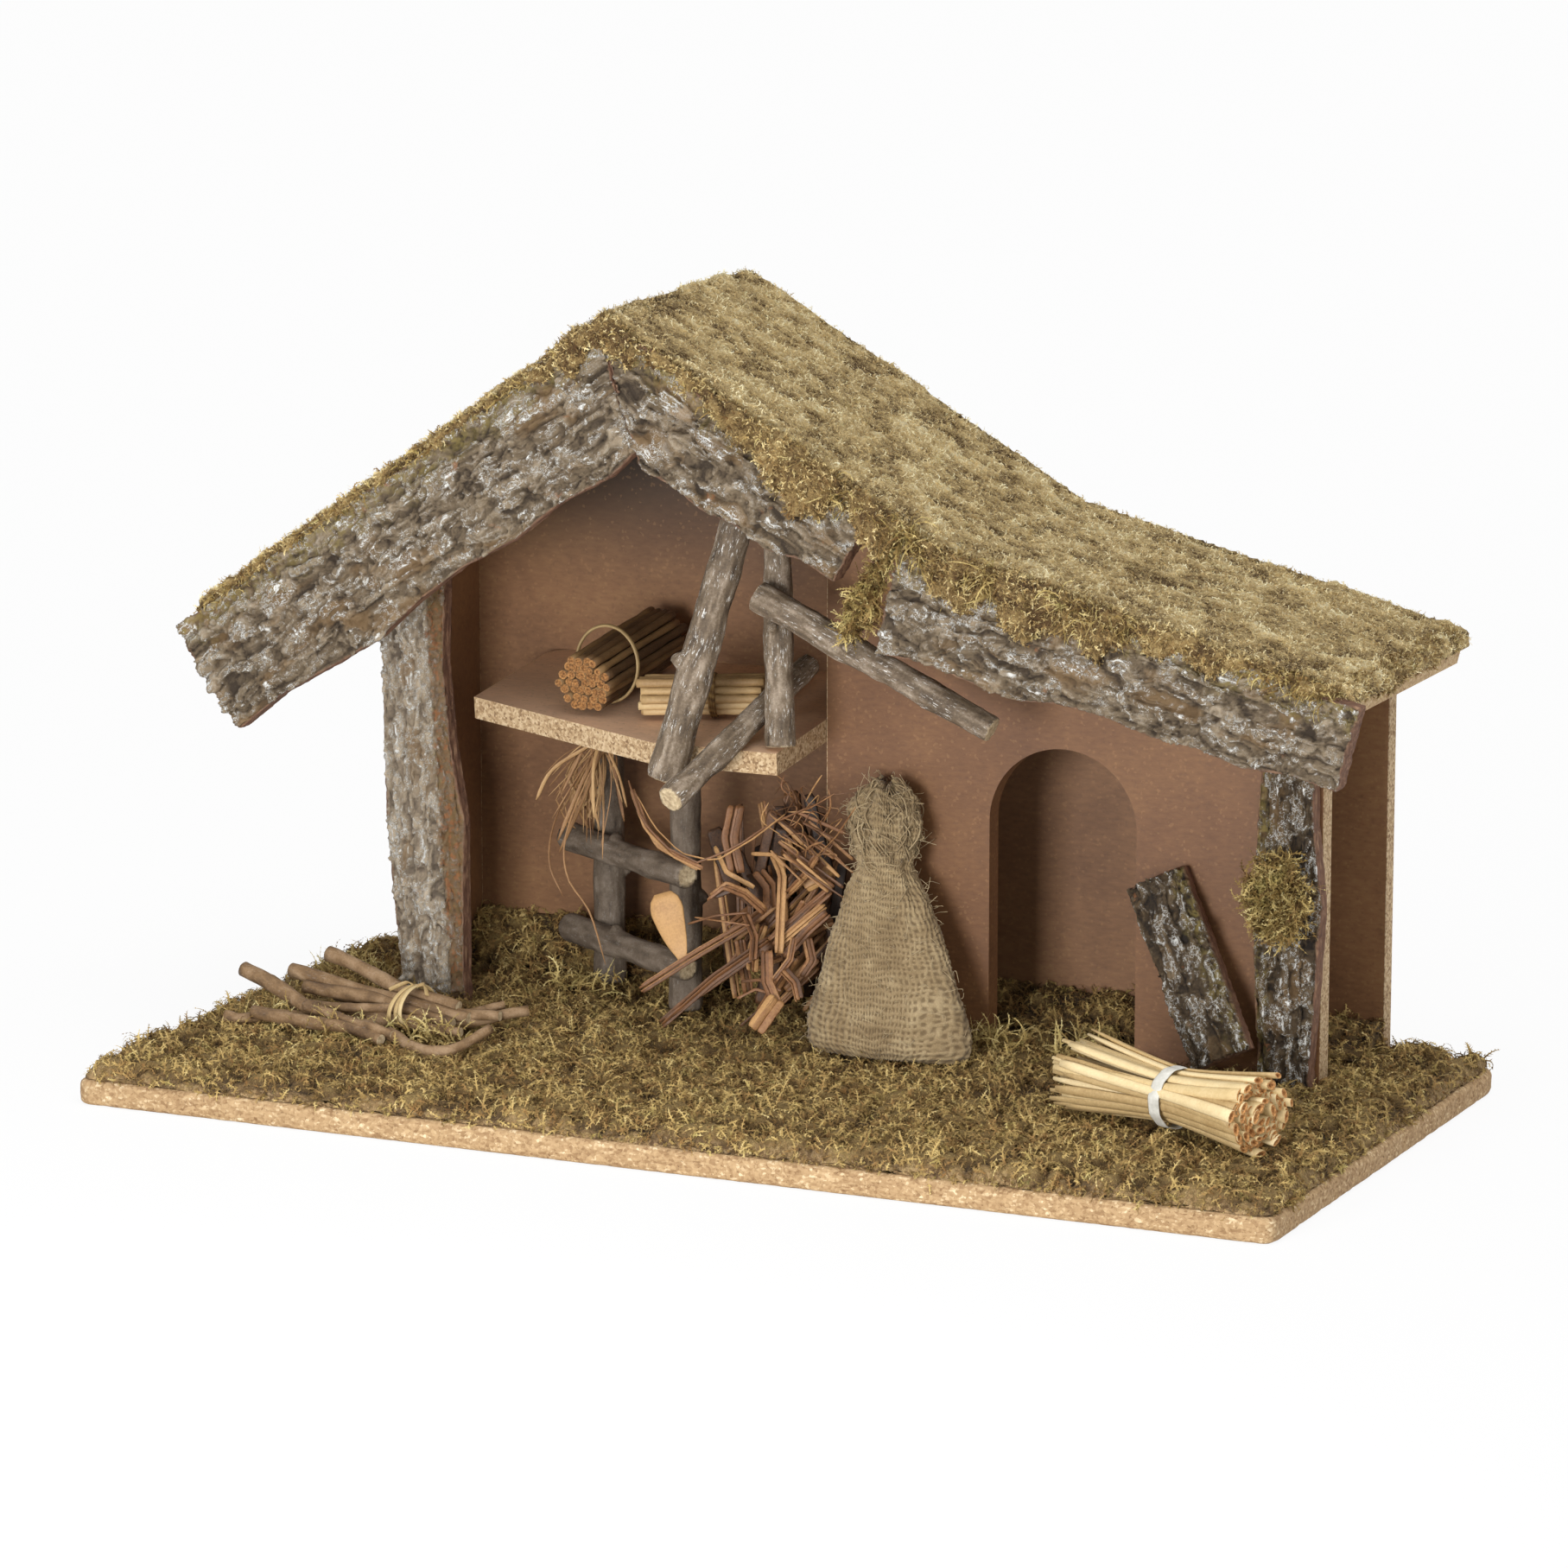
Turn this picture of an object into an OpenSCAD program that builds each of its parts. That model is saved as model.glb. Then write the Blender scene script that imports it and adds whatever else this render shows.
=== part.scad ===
// Small rustic stable on a chipboard base: board walls, a roof of three pitches with moss,
// bark fascias and posts, a loft shelf, a hay rack of twigs and the farm things around it.
// Millimetres, +Z up. The origin is the centre of the base board's underside.

/* [Base] */
// Depth of the base board, front to back
base_d = 250; // [240:5:300]
// Thickness of the chipboard base
base_t = 10; // [6:0.5:16]
// Corner radius of the base board
base_corner_r = 6; // [2:0.5:12]
// Thickness of the moss laid on the base
ground_moss_t = 8; // [5:0.5:10]
// Bare rim of chipboard round the moss
moss_rim = 2; // [1:0.5:8]

/* [House] */
// Base board left free beside the left wall
left_margin = 54; // [46:1:80]
// Base board left free beside the right end of the back wall
right_margin = 42; // [34:1:80]
// Base board left free behind the back wall
rear_margin = 7; // [3:0.5:12]
// Thickness of the back wall
back_wall_t = 8; // [5:0.5:12]
// Thickness of the short left wall
side_wall_t = 6; // [4:0.5:9]
// Thickness of the front panel with the arch
panel_t = 9; // [6:0.5:11]
// Clear width of the open room, left wall to arch panel
room_w = 185; // [180:1:195]
// Clear depth between the back wall and the arch panel
bay_d = 53; // [50:1:60]
// Width of the arch panel
panel_w = 209; // [195:1:230]
// Setback of the arch panel's right end from the end of the back wall
panel_setback = 4; // [0:0.5:10]

/* [Arch] */
// Width of the arched doorway
arch_w = 62; // [48:1:68]
// Height of the arch's springing line above the base board
arch_spring_h = 98; // [80:1:104]
// Distance from the panel's left end to the doorway
arch_left = 70; // [64:1:78]

/* [Roof] */
// Height of the ridge, underside of the base to top of the roof boards
ridge_h = 302; // [296:1:330]
// Distance from the left wall's outer face to the ridge
ridge_from_left = 124; // [112:1:134]
// Level run of the middle pitch, ridge to kink
middle_run = 144; // [132:1:154]
// Pitch of the left side of the roof
left_pitch = 35; // [31:0.5:38]
// Pitch of the middle of the roof
middle_pitch = 30; // [27:0.5:32]
// Pitch of the low roof at the right
low_pitch = 14; // [10:0.5:18]
// Eave beyond the left wall
left_overhang = 56; // [44:1:64]
// Eave beyond the right end of the back wall
right_overhang = 26; // [16:1:38]
// Eave in front of the arch panel
front_overhang = 58; // [52:1:66]
// Eave behind the back wall
rear_overhang = 1; // [0:0.5:4]
// Thickness of the roof boards
roof_t = 7; // [4:0.5:9]
// Thickness of the moss on the roof
roof_moss_t = 7; // [4:0.5:9]
// Moss past the edges of the roof boards
moss_lip = 3; // [1:0.5:5]

/* [Bark] */
// Thickness of the bark fascias
fascia_t = 12; // [8:0.5:14]
// Width of the left fascia
left_fascia_w = 49; // [40:1:56]
// Length of the left fascia along the pitch
left_fascia_l = 230; // [215:1:240]
// Width of the middle fascia at the ridge
middle_fascia_w = 46; // [38:1:50]
// Width of the middle fascia at its lower end
middle_fascia_end_w = 31; // [26:1:38]
// Length of the middle fascia along the pitch
middle_fascia_l = 132; // [118:1:140]
// Width of the right fascia at its left end
right_fascia_w = 42; // [36:1:46]
// Width of the right fascia at the eave
right_fascia_end_w = 33; // [28:1:38]
// Gap between the middle and the right fascia, level between their top corners
fascia_gap = 11.5; // [8:0.5:20]
// Width of the left post
left_post_w = 31; // [26:1:36]
// Width of the right post
right_post_w = 24; // [18:1:28]
// Thickness of the two posts
post_t = 12; // [8:0.5:14]
// Width of the plank that leans by the right post
plank_w = 25; // [18:1:28]
// Thickness of the leaning plank
plank_t = 8; // [5:0.5:10]
// Length of the leaning plank
plank_l = 76; // [62:1:84]

/* [Loft] */
// Height of the shelf's top at the back wall
shelf_h = 149; // [144:1:156]
// Thickness of the shelf
shelf_t = 9; // [6:0.5:11]
// Slope of the shelf, down to the front
shelf_tilt = 6; // [0:0.5:8]
// Gap between the left wall and the shelf
shelf_gap = 34; // [28:1:42]
// Depth of the shelf at its right side
shelf_d = 110; // [104:1:116]
// Depth of the shelf at its left side
shelf_left_d = 73; // [66:1:82]
// Length of the straight front edge at the right
shelf_front_l = 54; // [46:1:60]
// Radius of the corner at the back
shelf_corner_r = 10; // [4:1:20]

/* [Twigs] */
// Radius of the long twig
long_twig_r = 8.1; // [6:0.1:8.5]
// Radius of the short upright twig
short_twig_r = 6.4; // [5:0.1:7]
// Radius of the twig that crosses the shelf's edge
cross_twig_r = 5.8; // [4.5:0.1:6]
// Radius of the twig under the eave
eave_twig_r = 6.6; // [5:0.1:6.8]
// Radius of the hay rack's posts
rack_post_r = 6.2; // [5:0.1:7]
// Radius of the hay rack's rungs
rack_rung_r = 5.4; // [4:0.1:6]
// Height of the lower rung above the moss
rung_low_h = 21; // [16:1:28]
// Height of the upper rung above the moss
rung_high_h = 59; // [50:1:68]

/* [Farm things] */
// Length of the reed bundle
reed_l = 78; // [66:1:82]
// Radius of one reed
reed_r = 1.9; // [1.5:0.1:2]
// Length of the stick bundle
stick_l = 52; // [44:1:54]
// Radius of one stick
stick_r = 1.8; // [1.4:0.1:1.9]
// Length of the straw sheaf
sheaf_l = 96; // [84:1:104]
// Radius of one straw of the sheaf
straw_r = 1.8; // [1.4:0.1:2]
// How much wider the sheaf is at its ends than at the band
sheaf_flare = 1.22; // [1.05:0.01:1.3]
// Length of the firewood bundle
firewood_l = 122; // [104:1:130]
// Radius of a firewood stick
firewood_r = 2.3; // [1.8:0.1:2.6]
// Width of the sack
sack_w = 66; // [56:1:70]
// Thickness of the sack
sack_t = 25; // [20:1:26]
// Height of the sack up to its tie
sack_neck_h = 71; // [62:1:76]
// Radius of the sack's neck
sack_neck_r = 9; // [7:0.5:10]
// Height of the ruffled head above the tie
sack_head_h = 33; // [26:1:38]

/* [Hidden] */
$fn = 48;

// Clearance between soft or round pieces and what carries them
seat = 0.3;
// Length by which a cutter runs past the face that it cuts
overrun = 20;

// Places of the walls; the base board is as wide as the house and its margins
base_w = left_margin + side_wall_t + room_w + panel_w + panel_setback + right_margin;
house_left = -base_w / 2 + left_margin;
house_right = base_w / 2 - right_margin;
wall_back = base_d / 2 - rear_margin;
wall_face = wall_back - back_wall_t;
panel_back = wall_face - bay_d;
panel_face = panel_back - panel_t;
room_left = house_left + side_wall_t;
panel_left = room_left + room_w;
panel_right = house_right - panel_setback;
moss_top = base_t + ground_moss_t;

// Lines of the roof; a drop is measured square to the pitch, down from the boards' top
ridge_x = house_left + ridge_from_left;
kink_x = ridge_x + middle_run;
kink_h = ridge_h - middle_run * tan(middle_pitch);
eave_left = house_left - left_overhang;
eave_right = house_right + right_overhang;
roof_front = panel_face - front_overhang;
roof_rear = wall_back + rear_overhang;
function left_line(x, drop) = ridge_h - (ridge_x - x) * tan(left_pitch) - drop / cos(left_pitch);
function middle_line(x, drop) = ridge_h - (x - ridge_x) * tan(middle_pitch) - drop / cos(middle_pitch);
function low_line(x, drop) = kink_h - (x - kink_x) * tan(low_pitch) - drop / cos(low_pitch);
function roof_line(x, drop) = x < ridge_x ? left_line(x, drop)
    : x < kink_x ? middle_line(x, drop) : low_line(x, drop);
function ridge_shift(drop) = drop * (1 / cos(left_pitch) - 1 / cos(middle_pitch))
    / (tan(left_pitch) + tan(middle_pitch));
function kink_shift(drop) = drop * (1 / cos(low_pitch) - 1 / cos(middle_pitch))
    / (tan(middle_pitch) - tan(low_pitch));
function ridge_point(drop) = [ridge_x + ridge_shift(drop), middle_line(ridge_x + ridge_shift(drop), drop)];
function kink_point(drop) = [kink_x + kink_shift(drop), middle_line(kink_x + kink_shift(drop), drop)];
function eave_left_point(out, drop) = [
    eave_left - out * cos(left_pitch) + drop * sin(left_pitch),
    left_line(eave_left, 0) - out * sin(left_pitch) - drop * cos(left_pitch)
];
function eave_right_point(out, drop) = [
    eave_right + out * cos(low_pitch) - drop * sin(low_pitch),
    low_line(eave_right, 0) - out * sin(low_pitch) - drop * cos(low_pitch)
];

// Height of the shelf's top at a place on its slope
function shelf_top(y) = shelf_h - (wall_face - y) * tan(shelf_tilt);
shelf_left = room_left + shelf_gap;
shelf_w = panel_left - seat - shelf_left;
shelf_front = wall_face - shelf_d * cos(shelf_tilt);
shelf_front_top = shelf_top(shelf_front);
function shelf_under(y) = shelf_top(y) - shelf_t / cos(shelf_tilt);

// Extrudes an outline drawn in X and Z from one Y to another
module across(y_from, y_to) {
    translate([0, y_to, 0])
        rotate([90, 0, 0])
            linear_extrude(y_to - y_from)
                children();
}

// Base and moss

module base_outline(inset) {
    r = max(base_corner_r - inset, moss_rim);
    half = [base_w / 2 - inset, base_d / 2 - inset];
    square([2 * half[0], 2 * (half[1] - r)], center = true);
    square([2 * (half[0] - r), 2 * half[1]], center = true);
    for (x = [-1, 1], y = [-1, 1])
        translate([x * (half[0] - r), y * (half[1] - r)])
            circle(r);
}

module base_board() {
    color("burlywood")
        linear_extrude(base_t)
            base_outline(0);
}

// Slots in the moss for what is glued straight to the base board
module slot(x_from, x_to, y_from, y_to) {
    translate([x_from - seat, y_from - seat])
        square([x_to - x_from + 2 * seat, y_to - y_from + 2 * seat]);
}

module ground_moss() {
    color("olivedrab")
        translate([0, 0, base_t])
            linear_extrude(ground_moss_t)
                difference() {
                    base_outline(moss_rim);
                    slot(house_left, house_right, wall_face, wall_back);
                    slot(house_left, room_left, panel_face, wall_face);
                    slot(panel_left, panel_right, panel_face, panel_back);
                    slot(left_post_x - bark_wander, left_post_x + left_post_w + bark_wander,
                        panel_face - post_t, panel_face);
                    slot(right_post_x - bark_wander, right_post_x + right_post_w + bark_wander,
                        panel_face - post_t, panel_face);
                }
}

// Heights and depths of the moss heaped along the walls
bank_room_h = 20;
bank_room_d = 20;
bank_room_top = 7;
bank_bay_h = 11;
bank_bay_d = 34;
bank_bay_top = 12;
bank_top_share = 0.85;

// Moss heaped on the ground moss against the back wall; its face slopes down to the front
module moss_bank(x_from, x_to, high, deep, top) {
    translate([x_from + seat, wall_face - seat, moss_top])
        rotate([90, 0, 90])
            linear_extrude(x_to - x_from - 2 * seat)
                polygon([[0, 0], [0, high], [-top, bank_top_share * high], [-deep, 0]]);
}

module moss_bank_room() {
    color("olivedrab")
        moss_bank(room_left, panel_left, bank_room_h, bank_room_d, bank_room_top);
}

module moss_bank_bay() {
    color("olivedrab")
        moss_bank(panel_left, house_right, bank_bay_h, bank_bay_d, bank_bay_top);
}

// Walls

module back_wall() {
    color("sienna")
        across(wall_face, wall_back)
            polygon([
                [house_left, base_t],
                [house_right, base_t],
                [house_right, low_line(house_right, roof_t)],
                kink_point(roof_t),
                ridge_point(roof_t),
                [house_left, left_line(house_left, roof_t)]
            ]);
}

module left_wall() {
    color("sienna")
        across(panel_face, wall_face)
            polygon([
                [house_left, base_t],
                [room_left, base_t],
                [room_left, left_line(room_left, roof_t)],
                [house_left, left_line(house_left, roof_t)]
            ]);
}

arch_x = panel_left + arch_left + arch_w / 2;
arch_spring = base_t + arch_spring_h;

module arch_panel() {
    color("peru")
        across(panel_face, panel_back)
            difference() {
                polygon([
                    [panel_left, base_t],
                    [panel_right, base_t],
                    [panel_right, low_line(panel_right, roof_t)],
                    kink_point(roof_t),
                    [panel_left, middle_line(panel_left, roof_t)]
                ]);
                translate([arch_x, arch_spring])
                    circle(arch_w / 2, $fn = 96);
                translate([arch_x - arch_w / 2, base_t - overrun])
                    square([arch_w, arch_spring_h + overrun]);
            }
}

// The shelf is cut square to the back wall, runs past it before the cut, and its left
// front corner is sawn off
module loft_shelf() {
    color("peru")
        intersection() {
            translate([shelf_left, wall_face, shelf_h])
                rotate([shelf_tilt, 0, 0])
                    translate([0, 0, -shelf_t])
                        linear_extrude(shelf_t)
                            difference() {
                                polygon([
                                    [0, shelf_t],
                                    [shelf_w, shelf_t],
                                    [shelf_w, -shelf_d],
                                    [shelf_w - shelf_front_l, -shelf_d],
                                    [0, -shelf_left_d]
                                ]);
                                shelf_corner_waste();
                            }
            translate([shelf_left - overrun, wall_face - shelf_d - overrun, 0])
                cube([shelf_w + 2 * overrun, shelf_d + overrun, ridge_h]);
        }
}

// What the rounded back corner leaves off
module shelf_corner_waste() {
    difference() {
        translate([-overrun, -shelf_corner_r])
            square([shelf_corner_r + overrun, shelf_corner_r + overrun]);
        translate([shelf_corner_r, -shelf_corner_r])
            circle(shelf_corner_r);
    }
}

// Roof

module roof_piece(points, y_from, y_to) {
    across(y_from, y_to)
        polygon(points);
}

module roof_board_left() {
    color("tan")
        roof_piece([
            eave_left_point(0, roof_t), ridge_point(roof_t), ridge_point(0), eave_left_point(0, 0)
        ], roof_front, roof_rear);
}

module roof_board_middle() {
    color("tan")
        roof_piece([
            ridge_point(roof_t), kink_point(roof_t), kink_point(0), ridge_point(0)
        ], roof_front, roof_rear);
}

module roof_board_low() {
    color("tan")
        roof_piece([
            kink_point(roof_t), eave_right_point(0, roof_t), eave_right_point(0, 0), kink_point(0)
        ], roof_front, roof_rear);
}

module roof_moss_left() {
    color("darkkhaki")
        roof_piece([
            eave_left_point(moss_lip, 0), ridge_point(0),
            ridge_point(-roof_moss_t), eave_left_point(0, -roof_moss_t)
        ], roof_front, roof_rear + moss_lip);
}

module roof_moss_middle() {
    color("darkkhaki")
        roof_piece([
            ridge_point(0), kink_point(0), kink_point(-roof_moss_t), ridge_point(-roof_moss_t)
        ], roof_front, roof_rear + moss_lip);
}

module roof_moss_low() {
    color("darkkhaki")
        roof_piece([
            kink_point(0), eave_right_point(moss_lip, 0),
            eave_right_point(0, -roof_moss_t), kink_point(-roof_moss_t)
        ], roof_front, roof_rear + moss_lip);
}

// Bark. A slab lies along +X with its face to -Y; its outline wanders and its face is furrowed.
// Furrow shares give places across the width and heights of the face.
bark_wander = 2.2;
top_edge_shares = [0.2, -0.6, 0.3, 0.9, 0.1, -0.7, 0.4, -0.2, 0.8, -0.4, 0.1];
low_edge_shares = [-0.3, 0.8, -0.2, -1, 0.5, 1, -0.4, 0.3, -0.9, 0.6, 0];
face_shares = [
    [0, 0.55], [0.07, 0.7], [0.16, 0.66], [0.24, 0.9], [0.33, 0.82], [0.42, 1],
    [0.5, 0.86], [0.58, 0.97], [0.67, 0.8], [0.76, 0.92], [0.86, 0.68], [0.94, 0.72], [1, 0.5]
];

function last(list) = len(list) - 1;

module bark_outline(long, wide, end_wide) {
    n = last(top_edge_shares);
    polygon(concat(
        [for (i = [0 : n])
            [long * i / n, bark_wander * top_edge_shares[i] * sign(i * (n - i))]],
        [for (i = [n : -1 : 0]) [
            long * i / n,
            -wide + (wide - end_wide) * i / n + bark_wander * low_edge_shares[i] * sign(i * (n - i))
        ]]
    ));
}

module bark_slab(long, wide, end_wide, thick) {
    full = wide + 2 * bark_wander;
    intersection() {
        rotate([90, 0, 0])
            linear_extrude(thick)
                bark_outline(long, wide, end_wide);
        translate([-overrun, 0, bark_wander])
            rotate([90, 0, 90])
                linear_extrude(long + 2 * overrun)
                    polygon(concat(
                        [[0, 0]],
                        [for (s = face_shares) [-thick * s[1], -full * s[0]]],
                        [[0, -full]]
                    ));
    }
}

// Height of the fascias' upper edge over the roof boards
fascia_proud = 2;
// Lean of the joint under the ridge, where the left fascia's end meets the middle one
fascia_joint_lean = 18.4;
// Length of the right fascia past the roof board's end
fascia_end = 7;

// Place on a fascia that falls to the right from a point on the boards' top
function on_fall(start, pitch, along, up) = start
    + [along * cos(pitch) + up * sin(pitch), up * cos(pitch) - along * sin(pitch)];

// Keeps what lies on one side of the joint under the ridge
module beside_joint(side) {
    intersection() {
        children();
        across(roof_front - fascia_t - overrun, roof_front + overrun)
            translate(ridge_point(-fascia_proud))
                rotate(fascia_joint_lean)
                    translate([side * seat / 2 - (side < 0 ? base_w : 0), -base_w / 2])
                        square(base_w);
    }
}

module fascia_left() {
    color("dimgray")
        beside_joint(-1)
            translate([ridge_x, roof_front, ridge_h])
                rotate([0, -left_pitch, 0])
                    translate([-left_fascia_l, 0, fascia_proud])
                        bark_slab(left_fascia_l + overrun, left_fascia_w, left_fascia_w, fascia_t);
}

module fascia_middle() {
    color("dimgray")
        beside_joint(1)
            translate([ridge_x, roof_front, ridge_h])
                rotate([0, middle_pitch, 0])
                    translate([-overrun, 0, fascia_proud])
                        bark_slab(middle_fascia_l + overrun, middle_fascia_w, middle_fascia_end_w, fascia_t);
}

eave_end = [eave_right, low_line(eave_right, 0)];
middle_fascia_corner = on_fall([ridge_x, ridge_h], middle_pitch, middle_fascia_l, fascia_proud);
right_fascia_l = fascia_end + (eave_right - middle_fascia_corner[0] - fascia_gap) / cos(low_pitch);

module fascia_right() {
    color("dimgray")
        translate([eave_end[0], roof_front, eave_end[1]])
            rotate([0, low_pitch, 0])
                translate([fascia_end - right_fascia_l, 0, fascia_proud])
                    bark_slab(right_fascia_l, right_fascia_w, right_fascia_end_w, fascia_t);
}

// Posts stand on the base board, in front of the walls' ends, and reach the roof boards
left_post_inset = 4;
left_post_x = house_left + left_post_inset;
left_post_lean = 3.4;
right_post_x = panel_right - right_post_w;

module post(x, wide, lean) {
    side = wide + overrun;
    intersection() {
        translate([x, panel_face, base_t])
            rotate([0, -90 - lean, 0])
                translate([-overrun, 0, 0])
                    bark_slab(ridge_h + overrun, wide, wide, post_t);
        across(panel_face - post_t - overrun, panel_face + overrun)
            polygon([
                [x - side, base_t],
                [x + side, base_t],
                [x + side, roof_line(x + side, roof_t)],
                [x - side, roof_line(x - side, roof_t)]
            ]);
    }
}

module left_post() {
    color("gray")
        post(left_post_x, left_post_w, left_post_lean);
}

module right_post() {
    color("gray")
        post(right_post_x, right_post_w, 0);
}

// The plank's foot is on the moss and its top leans back on the arch panel
plank_side_lean = 27;
plank_back_lean = 13;
plank_gap = 8;
plank_foot_x = right_post_x - plank_gap;
plank_foot_y = panel_face - plank_l * cos(plank_side_lean) * sin(plank_back_lean) - 2 * seat;

module leaning_plank() {
    low = plank_w / 2 * sin(plank_side_lean);
    color("dimgray")
        translate([plank_foot_x, plank_foot_y, moss_top + low + bark_wander])
            rotate([-plank_back_lean, 0, 0])
                rotate([0, -90 - plank_side_lean, 0])
                    translate([0, 0, plank_w / 2])
                        bark_slab(plank_l, plank_w, plank_w, plank_t);
}

// Closed soft solid through level rings; each ring is [height, half width, half depth], and
// the lean gives how far its middle moves right and back for each millimetre of height
module soft_loft(rings, sides, lean = [0, 0]) {
    n = last(rings);
    function middle(k) = [lean[0] * rings[k][0], lean[1] * rings[k][0], rings[k][0]];
    function ring(k) = [for (i = [0 : sides - 1])
        middle(k) + [rings[k][1] * cos(360 * i / sides), rings[k][2] * sin(360 * i / sides), 0]];
    points = concat([for (k = [0 : n]) each ring(k)], [middle(0), middle(n)]);
    low = sides * (n + 1);
    polyhedron(points, concat(
        [for (k = [0 : n - 1], i = [0 : sides - 1])
            [k * sides + i, (k + 1) * sides + i, (k + 1) * sides + (i + 1) % sides]],
        [for (k = [0 : n - 1], i = [0 : sides - 1])
            [k * sides + i, (k + 1) * sides + (i + 1) % sides, k * sides + (i + 1) % sides]],
        [for (i = [0 : sides - 1]) [low, i, (i + 1) % sides]],
        [for (i = [0 : sides - 1]) [low + 1, n * sides + (i + 1) % sides, n * sides + i]]
    ));
}

// A tuft of moss, a rounded lump with its lowest ring at z = 0
tuft_shares = [[0, 0.55], [0.15, 0.86], [0.38, 1], [0.65, 0.88], [0.86, 0.6], [1, 0.25]];

module tuft(wide, deep, high, lean) {
    soft_loft([for (s = tuft_shares) [high * s[0], wide / 2 * s[1], deep / 2 * s[1]]], 16, lean);
}

eave_clump_w = 20;
eave_clump_d = 11;
eave_clump_drop = 8;
// Share of its half depth that the clump has at the roof board's edge
eave_clump_seat_share = 0.75;

// Moss that fills the slanted gap between the middle and the right fascia
module eave_moss_clump() {
    ridge = [ridge_x, ridge_h];
    gap_top = (on_fall(ridge, middle_pitch, middle_fascia_l, 0)
        + on_fall(eave_end, low_pitch, fascia_end - right_fascia_l, 0)) / 2;
    gap_low = (on_fall(ridge, middle_pitch, middle_fascia_l, -middle_fascia_end_w)
        + on_fall(eave_end, low_pitch, fascia_end - right_fascia_l, -right_fascia_w)) / 2;
    lean = (gap_top[0] - gap_low[0]) / (gap_top[1] - gap_low[1]);
    high = gap_top[1] - gap_low[1] + eave_clump_drop;
    color("olive")
        translate([
            gap_low[0] - lean * eave_clump_drop,
            roof_front - eave_clump_d / 2 * eave_clump_seat_share - seat,
            gap_low[1] - eave_clump_drop
        ])
            tuft(eave_clump_w, eave_clump_d, high, [lean, 0]);
}

post_clump_w = 32;
post_clump_d = 13;
post_clump_h = 36;
post_clump_z = 58;

// Moss stuck to the face of the right post
module post_moss_clump() {
    color("olive")
        translate([
            right_post_x + right_post_w / 2,
            panel_face - post_t - post_clump_d / 2 - seat,
            moss_top + post_clump_z
        ])
            tuft(post_clump_w, post_clump_d, post_clump_h, [0, 0]);
}

// Twigs. Shares give places along the twig and its radius there.
twig_shares = [
    [0, 0.93], [0.02, 0.97], [0.14, 0.94], [0.24, 0.9], [0.31, 0.97], [0.36, 1], [0.42, 0.95],
    [0.56, 0.9], [0.68, 0.92], [0.74, 0.98], [0.8, 0.92], [0.92, 0.88], [0.98, 0.9], [1, 0.86]
];
twig_taper = 0.88;
stub_at = 0.36;
stub_tilt_angle = 52;
// Height from the shelf's front edge to the roof boards, which the twigs' rises are shares of
loft_h = middle_line(panel_left, roof_t) - shelf_front_top;
// Share of its radius that a twig has, on average, where another touches its side
side_share = 0.9;

// A twig from one point to another, with the stub of a side branch turned round its axis
module twig(from, to, r, stub_angle) {
    run = to - from;
    long = norm(run);
    translate(from)
        rotate([0, acos(run[2] / long), atan2(run[1], run[0])]) {
            rotate_extrude()
                polygon(concat(
                    [[0, 0]],
                    [for (s = twig_shares) [r * s[1] * (1 - (1 - twig_taper) * s[0]), long * s[0]]],
                    [[0, long]]
                ));
            translate([0, 0, long * stub_at])
                rotate([0, stub_tilt_angle, stub_angle])
                    cylinder(h = r * 1.5, r1 = r * 0.42, r2 = r * 0.34);
        }
}

// The short twig stands on the shelf near its front edge, leans back and reaches the boards
short_twig_gap = 1.5;
short_twig_lean_shares = [-0.054, 0.078];
short_twig_stub_angle = 150;
short_twig_lean = loft_h * short_twig_lean_shares;
short_twig_foot_x = panel_left - short_twig_gap;
short_twig_foot_y = shelf_front + short_twig_r;
short_twig_foot_z = shelf_top(short_twig_foot_y + short_twig_r) + seat;
short_twig_top_x = short_twig_foot_x + short_twig_lean[0];
short_twig_top_z = middle_line(short_twig_top_x + short_twig_r, roof_t) - seat;
short_twig_foot = [short_twig_foot_x, short_twig_foot_y, short_twig_foot_z];
short_twig_top = [short_twig_top_x, short_twig_foot_y + short_twig_lean[1], short_twig_top_z];

module short_twig() {
    color("slategray")
        twig(short_twig_foot, short_twig_top, short_twig_r, short_twig_stub_angle);
}

// The long twig leans on the shelf's front edge with its head behind the fascia
long_twig_from_panel = 40.5;
long_twig_rise_shares = [0.213, 0.094, 0.843];
long_twig_tail_share = 0.12;
long_twig_stub_angle = 200;
long_twig_rise = loft_h * long_twig_rise_shares;
long_twig_edge = [panel_left - long_twig_from_panel, shelf_front - long_twig_r - seat, shelf_front_top];

module long_twig() {
    color("slategray")
        twig(long_twig_edge - long_twig_rise * long_twig_tail_share, long_twig_edge + long_twig_rise,
            long_twig_r, long_twig_stub_angle);
}

// The cross twig rests on the shelf's front edge and passes behind the short twig
cross_twig_from_panel = 27.2;
cross_twig_side = 21.6;
cross_twig_back = 84;
cross_twig_rise = 41.2;
cross_twig_rest_share = 0.47;
cross_twig_stub_angle = 50;
cross_twig_lift = (cross_twig_r * side_share + seat) / cos(atan2(cross_twig_rise, cross_twig_back));
cross_twig_low = [
    panel_left - cross_twig_from_panel,
    shelf_front - cross_twig_back * cross_twig_rest_share,
    shelf_front_top + cross_twig_lift - cross_twig_rise * cross_twig_rest_share
];

module cross_twig() {
    color("slategray")
        twig(cross_twig_low, cross_twig_low + [cross_twig_side, cross_twig_back, cross_twig_rise],
            cross_twig_r, cross_twig_stub_angle);
}

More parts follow.
